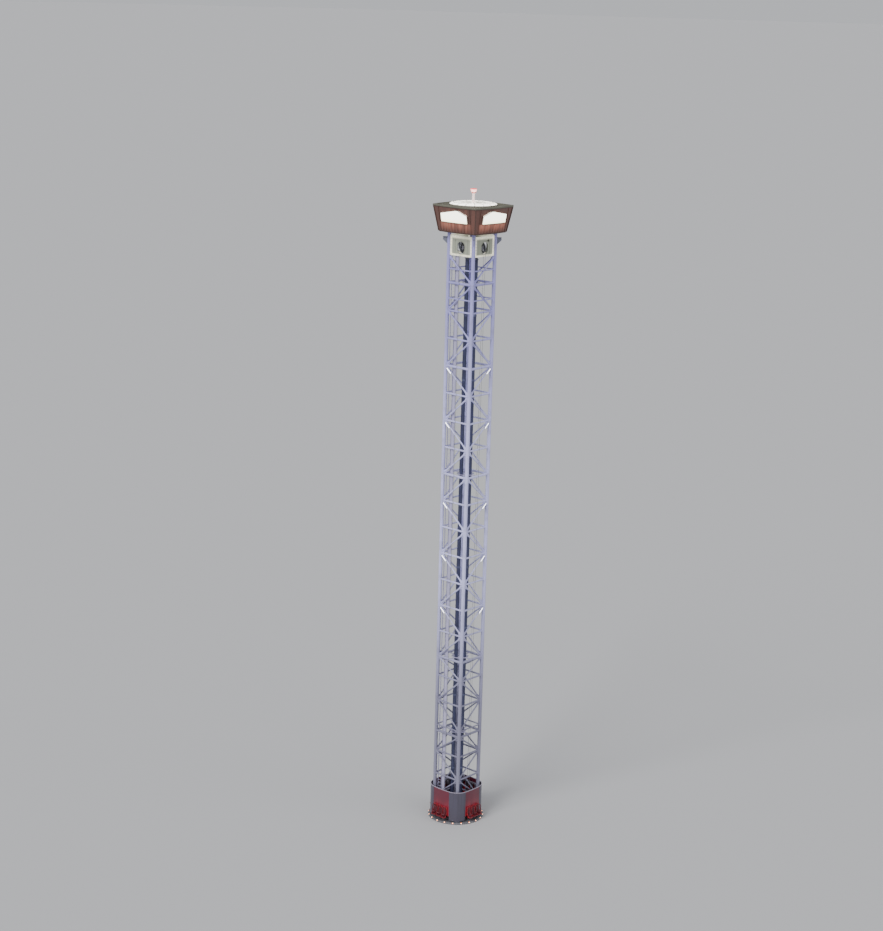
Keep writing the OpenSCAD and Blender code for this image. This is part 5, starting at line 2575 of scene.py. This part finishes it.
@dataclass(frozen=True)
class FloodLights:
    """The lights on the braces: finned housings with a lens set into each."""

    plan: TowerPlan = TowerPlan()
    length: float = 0.340
    width: float = 0.084
    depth: float = 0.038
    start: float = 0.142
    stand: float = 0.0323
    rim: float = 0.009
    pocket: float = 0.012
    ends: float = 0.004
    fin_room: float = 0.016
    fins: int = 9

    def places(self) -> list[Matrix]:
        """The place of each light, with its front towards -Y and its length along X.

        Returns:
            The places on all sides.
        """
        upper = [self.plan.upper_top - k * self.plan.bay for k in (3, 5)]
        lower = [self.plan.lower_top - k * self.plan.bay for k in (1, 3, 5)]
        half = self.plan.half
        slope = math.atan2(self.plan.bay, 2 * half)
        reach = self.start + self.length / 2
        found = []
        for side in Side:
            way = -1 if side.value % 2 else 1
            for level in (*upper, *lower):
                x = -way * (half - reach * math.cos(slope))
                z = level - reach * math.sin(slope)
                lean = about("Y", way * slope)
                found.append(side.turn @ shift(x, -half - self.stand, z) @ lean)
        return found

    def housing(self) -> Object:
        """One housing, with its pocket, its fins and its two straps.

        Returns:
            The housing at the origin.
        """
        deep = self.depth - 0.008
        size = (self.length - self.ends, deep, self.width - self.fin_room)
        body = Bench.block(size, (0, -self.depth + deep / 2, 0))
        Bench.inset(body, lambda centre, normal: normal.y < -FACING, self.rim)
        Bench.push(body, front_middle(0.01), (0, self.pocket, 0))
        Bench.round_edges(body, 0.003, steps=2)
        parts = [body]
        pitch = self.length / (self.fins + 1)
        for k in range(self.fins):
            x = -self.length / 2 + pitch * (k + 1)
            for way in (-1, 1):
                z = way * (self.width / 2 - 0.005)
                parts.append(Bench.block((0.004, deep * 0.8, 0.010), (x, -deep / 2, z)))
        for way in (-1, 1):
            x = way * self.length * 0.34
            size = (0.022, 0.008, self.width)
            parts.append(Bench.block(size, (x, -0.004, 0), bevel=0.0015, steps=1))
        return Bench.join(parts)

    def lens(self) -> Object:
        """One lens, a little domed, that lies in the housing's pocket.

        Returns:
            The lens at the origin.
        """
        frame_width = 2 * self.rim + 0.001
        long = self.length - self.ends - frame_width
        wide = self.width - self.fin_room - frame_width
        front = -self.depth + self.pocket
        pane = Bench.block((long, 0.002, wide), (0, front - 0.001, 0))
        for width, out in ((0.005, 0.004), (0.006, 0.003)):
            Bench.inset(pane, front_middle(0.003), width)
            Bench.push(pane, front_middle(0.003), (0, -out, 0))
        return Bench.round_edges(pane, 0.0012, steps=1)

    def build(self) -> None:
        """Adds all lights."""
        places = self.places()
        housings = Bench.spread(self.housing(), places)
        slot, nodes = "flood_lights", ["flood_lights"]
        deliver("flood_light_housings", housings, Finishes.HOUSING, slot, stands_for=nodes)
        lenses = Bench.spread(self.lens(), places)
        deliver("flood_light_lenses", lenses, Finishes.FLOOD, slot)


# Carriage


@dataclass(frozen=True)
class Rollers:
    """The guide rollers: rubber tyres on cast hubs, and the nuts of their pins."""

    half: float = 0.702
    out: float = 0.8233
    low: float = 0.172
    high: float = 1.448
    radius: float = 0.040
    width: float = 0.050
    pin: float = 0.012
    hub: float = 0.0275
    cheek_face: float = 0.038
    nut: float = 0.0145

    def places(self) -> list[Matrix]:
        """The middle of each roller, with the axle along Z.

        Returns:
            The places of all rollers.
        """
        return [
            side.turn @ shift(x, -y, z) @ about(axis, math.pi / 2)
            for side in Side
            for z in (self.low, self.high)
            for x, y, axis in ((self.half, self.out, "Y"), (self.out, self.half, "X"))
        ]

    def tyres(self) -> None:
        """The tyres, with two grooves each."""
        r, w = self.radius, self.width / 2
        deep = r - 0.002
        profile = [
            (self.hub, -w),
            (r - 0.004, -w),
            (r, -w + 0.004),
            (r, -0.010),
            (deep, -0.009),
            (deep, -0.007),
            (r, -0.006),
        ]
        tyres = Bench.spread(Bench.ring(mirrored(profile), sides=48), self.places())
        nodes = ["guide_rollers"]
        deliver("roller_tyres", tyres, Finishes.RUBBER, "rollers", Body.CARRIAGE, nodes)

    def hubs(self) -> None:
        """The hubs, each with a thin web between rim and bearing."""
        w = self.width / 2
        profile = [
            (self.pin + 0.0005, -w - 0.0015),
            (self.pin + 0.006, -w - 0.0015),
            (self.pin + 0.007, -0.012),
            (self.hub - 0.004, -0.010),
            (self.hub - 0.003, -w + 0.001),
            (self.hub, -w + 0.001),
        ]
        hubs = Bench.spread(Bench.ring(mirrored(profile), sides=36), self.places())
        deliver("roller_hubs", hubs, Finishes.CAST, "rollers", Body.CARRIAGE)

    def nuts(self) -> None:
        """A nut on both ends of every pin."""
        end = shift(0, 0, self.cheek_face)
        places = [
            place @ about("X", angle) @ end
            for place in self.places()
            for angle in (0.0, math.pi)
        ]
        nut = Bolt(self.nut)
        fasten("roller_pin_nuts", nut, places, "carriage_frame", body=Body.CARRIAGE)

    def build(self) -> None:
        """Adds tyres, hubs and nuts."""
        self.tyres()
        self.hubs()
        self.nuts()


@dataclass(frozen=True)
class DrumShape:
    """The outline of the carriage's round drum: flat arcs on the sides, tighter at the corners."""

    side_face: float = 1.030
    bay_half: float = 0.476
    bulge: float = 0.025
    corner_reach: float = 1.178
    corner_arc: float = 0.600

    @property
    def side_arc(self) -> float:
        """The radius of the sides."""
        return self.bay_half**2 / (2 * self.bulge) + self.bulge / 2

    @property
    def corner_centre(self) -> float:
        """How far the centre of a corner's arc lies from both planes through the axis."""
        return (self.corner_reach - self.corner_arc) / math.sqrt(2)

    @property
    def corner_half_angle(self) -> float:
        """Half of the angle that a corner's arc spans."""
        return math.pi / 4 - math.asin((self.bay_half - self.corner_centre) / self.corner_arc)

    def on_side(self, x: float, z: float) -> Matrix:
        """A place on the front side whose -Y axis points out of the drum.

        Args:
            x: The way off the middle of the side.
            z: The height.

        Returns:
            The place.
        """
        angle = math.asin(x / self.side_arc)
        middle = self.side_arc - self.side_face
        return shift(0, middle, z) @ about("Z", angle) @ shift(0, -self.side_arc, 0)

    def on_corner(self, angle: float, z: float) -> Matrix:
        """A place on the corner right of the front, turned by an angle from its middle.

        Args:
            angle: The turn.
            z: The height.

        Returns:
            The place, with -Y out of the drum.
        """
        c = self.corner_centre
        turn = about("Z", math.pi / 4 + angle)
        return shift(c, -c, z) @ turn @ shift(0, -self.corner_arc, 0)


@dataclass(frozen=True)
class PanelDetails:
    """Strips over the panels' joints, rivets along their edges and the rolled lower lips."""

    drum: DrumShape = DrumShape()
    side_low: float = 0.310
    corner_low: float = 0.120
    top: float = 1.500
    strip: float = 0.020
    sheet: float = 0.0035
    side_rivets: int = 11
    corner_rivets: int = 10
    rivet: float = 0.0065
    rivet_row: float = 0.022
    bead: tuple[float, float] = (0.016, 0.018)

    def cover_strips(self) -> None:
        """A strip over each joint between a side panel and a corner panel."""
        tall = self.top - self.side_low - 0.004
        size = (self.strip, self.sheet, tall)
        middle = (self.side_low + self.top) / 2
        strip = Bench.block(size, (0, -self.sheet / 2, 0), bevel=0.0012, steps=1)
        places = [
            side.turn @ self.drum.on_side(way * self.drum.bay_half, middle)
            for side in Side
            for way in (-1, 1)
        ]
        strips = Bench.spread(strip, places)
        deliver("panel_cover_strips", strips, Finishes.PLUM, "corner_panels", Body.CARRIAGE)

    def rivets(self, on_sides: bool) -> None:
        """Rivets along the upper and the lower edge of the panels.

        Args:
            on_sides: Whether they are the side panels' ones.
        """
        if on_sides:
            word, finish, on_panel = "side_panel", Finishes.MAROON, self.drum.on_side
            count, reach = self.side_rivets, self.drum.bay_half - 0.035
            low = self.side_low + self.rivet_row
        else:
            word, finish, on_panel = "corner_panel", Finishes.PLUM, self.drum.on_corner
            count, reach = self.corner_rivets, self.drum.corner_half_angle - 0.065
            low = self.corner_low + 0.036
        places = [
            side.turn @ on_panel(along, z) @ about("X", math.pi / 2)
            for side in Side
            for along in even(-reach, reach, count)
            for z in (low, self.top - self.rivet_row)
        ]
        rivet = Rivet(self.rivet)
        fasten(f"{word}_rivets", rivet, places, f"{word}s", finish, Body.CARRIAGE)

    def lips(self) -> None:
        """A round bead along the lower edge of each corner panel."""
        half = self.drum.corner_half_angle - 0.004
        radius = self.drum.corner_arc - 0.004
        bead = Bench.arc(self.bead, radius, 2 * half, steps=28)
        Bench.round_edges(bead, 0.006, steps=3)
        c = self.drum.corner_centre
        turn = about("Z", -math.pi / 4 - half)
        place = shift(c, -c, self.corner_low + 0.010) @ turn
        lips = Bench.spread(bead, [side.turn @ place for side in Side])
        deliver("corner_panel_lips", lips, Finishes.PLUM, "corner_panels", Body.CARRIAGE)

    def build(self) -> None:
        """Adds strips, rivets and lips."""
        self.cover_strips()
        self.rivets(True)
        self.rivets(False)
        self.lips()


@dataclass(frozen=True)
class FrameSplices:
    """The bolted plates where the frame's sides meet its corners.

    The bolts' places are shares of a plate's length and width.
    """

    split: float = 0.640
    face: float = 0.865
    heights: tuple[float, float] = (0.260, 1.360)
    length: float = 0.130
    width: float = 0.050
    sheet: float = 0.007
    nut: float = 0.0075
    bolts_along: tuple[float, ...] = (-0.38, -0.14, 0.14, 0.38)
    bolts_across: tuple[float, ...] = (-0.24, 0.24)

    def places(self) -> list[Matrix]:
        """The middle of each plate's back, with -Y out of the frame.

        Returns:
            The places of all plates.
        """
        return [
            side.turn @ shift(way * self.split, -self.face, z)
            for side in Side
            for way in (-1, 1)
            for z in self.heights
        ]

    def build(self) -> None:
        """Adds the plates and four bolts on each."""
        size = (self.length, self.sheet, self.width)
        plate = Bench.block(size, (0, -self.sheet / 2, 0), bevel=0.0015, steps=1)
        plates = Bench.spread(plate, self.places())
        deliver("frame_splice_plates", plates, Finishes.FRAME, "carriage_frame", Body.CARRIAGE)
        spots = [
            shift(x * self.length, -self.sheet, z * self.width) @ about("X", math.pi / 2)
            for x in self.bolts_along
            for z in self.bolts_across
        ]
        places = [place @ spot for place in self.places() for spot in spots]
        bolt = Bolt(self.nut)
        fasten("frame_splice_bolts", bolt, places, "carriage_frame", body=Body.CARRIAGE)


@dataclass(frozen=True)
class SeatPlan:
    """The places of the seats, and the sizes that their parts share."""

    back_face: float = 1.036
    height: float = 0.270
    pitch: float = 0.298
    count: int = 3
    width: float = 0.236
    depth: float = 0.225
    back_high: float = 0.440
    head_high: float = 0.470
    wing: float = 0.014

    def places(self, side: Side) -> list[Matrix]:
        """Each seat's origin: the lower edge of its back, with the sitter facing -Y.

        Args:
            side: The side.

        Returns:
            The three places.
        """
        middle = (self.count - 1) / 2
        return [
            side.turn @ shift((k - middle) * self.pitch, -self.back_face, self.height)
            for k in range(self.count)
        ]


@dataclass(frozen=True)
class SeatShell:
    """A moulded bucket: pan, back with a head part, and two wings."""

    plan: SeatPlan = SeatPlan()
    pan: float = 0.015
    back: float = 0.026

    def bucket(self) -> Object:
        """The pan and the back in one, with a head part that is narrower at the top.

        Returns:
            The pan with the back.
        """
        w, d = self.plan.width, self.plan.depth
        body = Bench.block((w, d, self.pan), (0, -d / 2, self.pan / 2))
        Bench.split(body, (0, -self.back, 0), (0, 1, 0))
        Bench.push(
            body,
            lambda centre, normal: normal.z > FACING and centre.y > -self.back,
            (0, 0, self.plan.head_high - self.pan),
        )
        for way in (-1, 1):
            corner = (way * w / 2, 0, self.plan.back_high - 0.010)
            Bench.cut(body, corner, (way * 0.040, 0, 0.030))
        return Bench.round_edges(body, 0.006, steps=3)

    def wing(self, x: float) -> list[Object]:
        """One side wing, low beside the pan and high beside the back.

        Args:
            x: The wing's way off the middle.

        Returns:
            The low and the high part.
        """
        thick, d = self.plan.wing, self.plan.depth
        low = Bench.block((thick, d - 0.010, 0.140), (x, -(d - 0.010) / 2, 0.072))
        high = Bench.block((thick, 0.110, self.plan.back_high), (x, -0.055, 0.220))
        slope = ((-0.110, 0.092), (-0.050, 0.150))
        Bench.trim(low, [((-0.215, 0.066), slope[0]), slope, ((-0.206, 0.0), (-0.216, 0.064))])
        edge = [(-0.110, 0.092), (-0.084, 0.140), (-0.072, 0.320), (-0.044, self.plan.back_high)]
        Bench.trim(high, zip(edge, edge[1:]))
        return [Bench.round_edges(each, 0.004) for each in (low, high)]

    def model(self) -> Object:
        """One whole shell.

        Returns:
            The shell at the origin.
        """
        reach = (self.plan.width - self.plan.wing) / 2
        parts = [self.bucket(), *self.wing(-reach), *self.wing(reach)]
        for x in (-0.045, 0.045):
            ends = ((x, -0.060, -0.010), (x, -0.190, -0.010))
            parts.append(Bench.rod(*ends, radius=0.009, sides=12, bevel=0.002))
        return Bench.join(parts)


@dataclass(frozen=True)
class SeatPads:
    """The quilted cushions of a seat: each is blown up as cloth between its sewn lines."""

    plan: SeatPlan = SeatPlan()
    width: float = 0.200
    voxel: float = 0.0068
    swell: float = 0.0055
    line: float = 0.0036
    groove: float = 0.0045
    groove_width: float = 0.0045

    def cushion(
        self,
        pad: Object,
        outward: Point,
        span: tuple[float, float],
        lines: Callable[[Vector], float],
        skin: float = 0.004,
        fine: float = 0.75,
    ) -> Object:
        """Blows a flat pad up between its sewn lines and presses the lines in.

        Args:
            pad: The flat pad.
            outward: The direction of its face.
            span: How far its back and its face lie along that direction.
            lines: Takes a point and gives its distance to the nearest line.
            skin: How deep below the face a line is still sewn down.
            fine: The size of its grid, as a share of the widest.

        Returns:
            The cushion.
        """
        back, face = span
        way = Vector(outward)

        def gap(co: Vector) -> float:
            """The distance to the nearest line, or FAR on the pad's rear half."""
            return lines(co) if co.dot(way) >= (back + face) / 2 else FAR

        def sewn(co: Vector) -> bool:
            """Whether a point lies on the pad's back or on a line, and so can't move."""
            out = co.dot(way)
            return out < back + 0.004 or (out > face - skin and gap(co) < self.line)

        Bench.puff(pad, self.voxel * fine, self.swell, sewn)
        return Bench.stitch(pad, -self.groove * way, self.groove_width, gap)

    def back_pad(self) -> Object:
        """The cushion of the back, sewn along four level lines and an upright pair.

        Returns:
            The cushion.
        """
        rear, front, low, high = -0.0265, -0.0500, 0.040, 0.326
        middle = (0, (rear + front) / 2, (low + high) / 2)
        pad = Bench.block((self.width - 0.008, rear - front, high - low), middle, bevel=0.006)
        levels = even(low, high, 6)[1:-1]
        inner = 0.066

        def lines(co: Vector) -> float:
            """The distance to the nearest level or upright line.

            Args:
                co: A point of the cushion.

            Returns:
                The distance.
            """
            beyond = max(0.0, abs(co.x) - inner)
            level = min(abs(co.z - z) for z in levels) + beyond
            return min(level, abs(abs(co.x) - inner))

        return self.cushion(pad, (0, -1, 0), (-rear, -front), lines, fine=1.0)

    def pan_pad(self) -> Object:
        """The cushion of the pan, sewn along its length and behind its front roll.

        Returns:
            The cushion.
        """
        low, high, rear, front = 0.0155, 0.0275, -0.040, -0.217
        middle = (0, (rear + front) / 2, (low + high) / 2)
        pad = Bench.block((self.width - 0.006, rear - front, high - low), middle, bevel=0.004)
        roll = front + 0.034

        def lines(co: Vector) -> float:
            """The distance to the nearest line along the pan or to the roll's line.

            Args:
                co: A point of the cushion.

            Returns:
                The distance.
            """
            beyond = max(0.0, roll - co.y)
            along = min(abs(co.x - x) for x in (-0.054, -0.018, 0.018, 0.054)) + beyond
            return min(along, abs(co.y - roll))

        return self.cushion(pad, (0, 0, 1), (low, high), lines, skin=0.003)

    def head_pad(self) -> Object:
        """The small cushion behind the head, between the restraint's tubes.

        Returns:
            The cushion.
        """
        rear, front, low, high = -0.0265, -0.0480, 0.378, 0.462
        middle = (0, (rear + front) / 2, (low + high) / 2)
        pad = Bench.block((0.084, rear - front, high - low), middle, bevel=0.006)

        def lines(co: Vector) -> float:
            """The distance to the level line in the middle."""
            return abs(co.z - middle[2])

        return self.cushion(pad, (0, -1, 0), (-rear, -front), lines)

    def model(self) -> Object:
        """All cushions of one seat."""
        return Bench.join([self.back_pad(), self.pan_pad(), self.head_pad()])


@dataclass(frozen=True)
class Restraint:
    """An over-shoulder restraint, closed: two bent tubes, sleeves, a lap bar and a hinge."""

    spread: float = 0.066
    tube: float = 0.011
    sleeve: float = 0.0185
    bend: float = 0.058
    bend_z: float = 0.390
    hinge_y: float = -0.0516
    hinge_z: float = 0.350
    hinge: float = 0.017
    lap_z: float = 0.140
    lap: float = 0.029
    reach: float = 0.092
    ribs: int = 7
    grip: tuple[float, float] = (0.199, 0.281)
    grip_depth: float = 0.034

    @property
    def front(self) -> float:
        """Where the tubes come down in front of the shoulders."""
        return self.hinge_y - 2 * self.bend

    def tubes(self) -> list[Object]:
        """The bent tubes from the hinge over the shoulders to the lap bar.

        Returns:
            The tubes.
        """
        parts = []
        for x in (-self.spread, self.spread):
            for y, low in ((self.front, self.lap_z), (self.hinge_y, self.hinge_z)):
                parts.append(Bench.rod((x, y, low), (x, y, self.bend_z), self.tube, sides=16))
            hoop = Bench.hoop(self.tube, self.bend, math.pi, steps=14)
            parts.append(Bench.place(hoop, shift(x, self.hinge_y - self.bend, self.bend_z)))
        return parts

    def hinge_tube(self) -> list[Object]:
        """The hinge tube with a collar at both ends.

        Returns:
            The tube.
        """
        thin, reach = self.hinge - 0.004, self.reach
        rings = mirrored(
            [
                (thin, -reach),
                (self.hinge, -reach + 0.003),
                (self.hinge, -reach + 0.014),
                (thin, -reach + 0.016),
            ]
        )
        tube = Bench.turned(rings, sides=24)
        across = shift(0, self.hinge_y, self.hinge_z) @ about("Y", math.pi / 2)
        return [Bench.place(tube, across)]

    def grips(self) -> list[Object]:
        """A small bent handle on each tube, beside the chest.

        Returns:
            The handles.
        """
        parts = []
        out, (low, high) = self.front - self.grip_depth, self.grip
        for x in (-self.spread, self.spread):
            for z in (low + 0.006, high - 0.006):
                parts.append(Bench.rod((x, self.front, z), (x, out, z), 0.006, sides=10))
            ends = ((x, out, low), (x, out, high))
            parts.append(Bench.rod(*ends, radius=0.0062, sides=10, bevel=0.002))
        return parts

    def frame(self) -> Object:
        """The metal parts of one restraint."""
        parts = [*self.tubes(), *self.hinge_tube(), *self.grips()]
        return Bench.join(parts)

    def sleeve_rings(self) -> Profile:
        """Radius and height of a sleeve's rings, in even ribs from the lap bar to the bend.

        Returns:
            The rings from below.
        """
        r = self.sleeve
        heights = even(self.lap_z + 0.030, self.bend_z, self.ribs + 1)
        rings = [(r - 0.005, heights[0])]
        for start, end in zip(heights, heights[1:]):
            rings += [(r - 0.0018, start + 0.002), (r, start + 0.008)]
            rings += [(r, end - 0.008), (r - 0.0018, end - 0.002)]
        return [*rings, (r - 0.005, heights[-1])]

    def roll_rings(self) -> Profile:
        """Radius and place of the lap roll's rings, with three grooves along it.

        Returns:
            The rings from end to end.
        """
        r = self.lap
        end = [(r - 0.012, 0.0), (r - 0.004, 0.004), (r, 0.013)]
        rings = [(radius, x - self.reach) for radius, x in end]
        for x in (-0.045, 0.0, 0.045):
            rings += [(r, x - 0.006), (r - 0.003, x), (r, x + 0.006)]
        return rings + [(radius, self.reach - x) for radius, x in reversed(end)]

    def padding(self) -> Object:
        """The ribbed sleeves round the tubes and the thick roll of the lap bar.

        Returns:
            The sleeves and the roll as one.
        """
        parts = []
        for x in (-self.spread, self.spread):
            sleeve = Bench.turned(self.sleeve_rings(), sides=24)
            parts.append(Bench.place(sleeve, shift(x, self.front, 0)))
            over = Bench.hoop(self.sleeve - 0.002, self.bend, math.radians(128), steps=12)
            lean = about("X", math.radians(-0.5))
            parts.append(Bench.place(over, shift(x, self.hinge_y - self.bend, self.bend_z) @ lean))
        roll = Bench.turned(self.roll_rings(), sides=32)
        across = shift(0, self.front, self.lap_z) @ about("Y", math.pi / 2)
        parts.append(Bench.place(roll, across))
        return Bench.join(parts)


@dataclass(frozen=True)
class Seating:
    """All seats of the carriage with their restraints."""

    plan: SeatPlan = SeatPlan()

    def build(self) -> None:
        """Adds the shells, the cushions and the restraints, one piece of each on a side."""
        makers = (
            ("seat_shells", SeatShell().model, Finishes.SHELL, "seats", "seats"),
            ("seat_pads", SeatPads().model, Finishes.PAD, "seats", ""),
            ("restraint_frames", Restraint().frame, Finishes.BAR, "restraints", "restraints"),
            ("restraint_pads", Restraint().padding, Finishes.PAD, "restraints", ""),
        )
        for word, model, finish, slot, node in makers:
            first = model()
            for side in Side:
                piece = Bench.join([Bench.twin(first, place) for place in self.plan.places(side)])
                name = f"{word}_{side.word}"
                stands_for = [f"{node}_{side.word}"] if node else []
                deliver(name, piece, finish, slot, Body.CARRIAGE, stands_for, 50.0)
            bpy.data.objects.remove(first)


def build_details() -> None:
    """Models every piece that the CAD part leaves to the scene."""
    for details in (
        PlinthDetails,
        ColumnFeet,
        Gussets,
        CylinderDetails,
        SheaveBearings,
        HeadDetails,
        CrownDetails,
        RoofDetails,
        Beacon,
        FloodLights,
        Rollers,
        PanelDetails,
        FrameSplices,
        Seating,
    ):
        details().build()


# Camera, light and floor


@dataclass(frozen=True)
class Viewpoint:
    """The place, direction and lens of the photograph's camera, at the model's size."""

    place: Point = (54.276, -61.892, 36.411)
    azimuth: float = 41.993
    pitch: float = 13.558
    roll: float = 1.508
    focal: float = 1911.1
    frame_height: float = 931.0

    def build(self) -> None:
        """Adds the camera and makes it the scene's own."""
        course, dip = math.radians(self.azimuth), math.radians(self.pitch)
        ahead = Vector(
            (-math.sin(course) * math.cos(dip), math.cos(course) * math.cos(dip), -math.sin(dip))
        )
        level = Vector((math.cos(course), math.sin(course), 0.0))
        up = level.cross(ahead)
        tilt = math.radians(self.roll)
        right = level * math.cos(tilt) + up * math.sin(tilt)
        top = up * math.cos(tilt) - level * math.sin(tilt)
        bpy.ops.object.camera_add()
        camera = bpy.context.object
        camera.name = "photo_camera"
        columns = (right, top, -ahead, Vector(self.place))
        camera.matrix_world = Matrix(
            [[*(c[row] for c in columns)] for row in range(3)] + [[0, 0, 0, 1]]
        )
        lens = camera.data
        lens.sensor_fit = "VERTICAL"
        lens.sensor_height = 24.0
        lens.lens = self.focal * lens.sensor_height / self.frame_height
        lens.clip_end = 20000.0
        bpy.context.scene.camera = camera


@dataclass(frozen=True)
class Studio:
    """A plain pale floor, a pale sky and soft light."""

    floor_size: float = 16000.0
    floor_shade: Colour = (0.50, 0.50, 0.51)
    sky: Colour = (0.86, 0.88, 0.92)
    sky_strength: float = 0.66
    key: float = 2.6
    fill: float = 0.8

    def floor(self) -> None:
        """Lays the floor just below the plinth."""
        Bench.clear()
        bpy.ops.mesh.primitive_plane_add(size=self.floor_size, location=(0, 0, -0.002))
        floor = Bench.settle()
        floor.name = "floor"
        paper = bpy.data.materials.new("floor_paper")
        paper.use_nodes = True
        shader = paper.node_tree.nodes["Principled BSDF"]
        shader.inputs["Base Color"].default_value = (*self.floor_shade, 1.0)
        shader.inputs["Roughness"].default_value = 0.9
        shader.inputs["Specular IOR Level"].default_value = 0.2
        floor.data.materials.append(paper)

    def sun(self, name: str, towards: Point, strength: float, spread: float) -> None:
        """Adds a soft distant light.

        Args:
            name: The light's name.
            towards: The direction from the tower to the light.
            strength: Its strength.
            spread: How wide it is, in degrees.
        """
        bpy.ops.object.light_add(type="SUN")
        lamp = bpy.context.object
        lamp.name = name
        lamp.rotation_euler = Vector(towards).to_track_quat("Z", "Y").to_euler()
        lamp.data.energy = strength
        lamp.data.angle = math.radians(spread)

    def build(self) -> None:
        """Sets up the floor, the sky and both lights."""
        self.floor()
        world = bpy.data.worlds.new("pale_sky")
        world.use_nodes = True
        sky = world.node_tree.nodes["Background"]
        sky.inputs["Color"].default_value = (*self.sky, 1.0)
        sky.inputs["Strength"].default_value = self.sky_strength
        bpy.context.scene.world = world
        self.sun("key_light", (0.05, -1.0, 0.75), self.key, spread=30.0)
        self.sun("fill_light", (1.0, 0.15, 0.55), self.fill, spread=60.0)


def main() -> None:
    """Builds the scene and the pieces in order."""
    logging.basicConfig(level=logging.INFO, format="%(name)s: %(message)s")
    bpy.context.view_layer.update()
    Viewpoint().build()
    Studio().build()
    dress_nodes()
    build_details()
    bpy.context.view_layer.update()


if __name__ == "__main__":
    main()
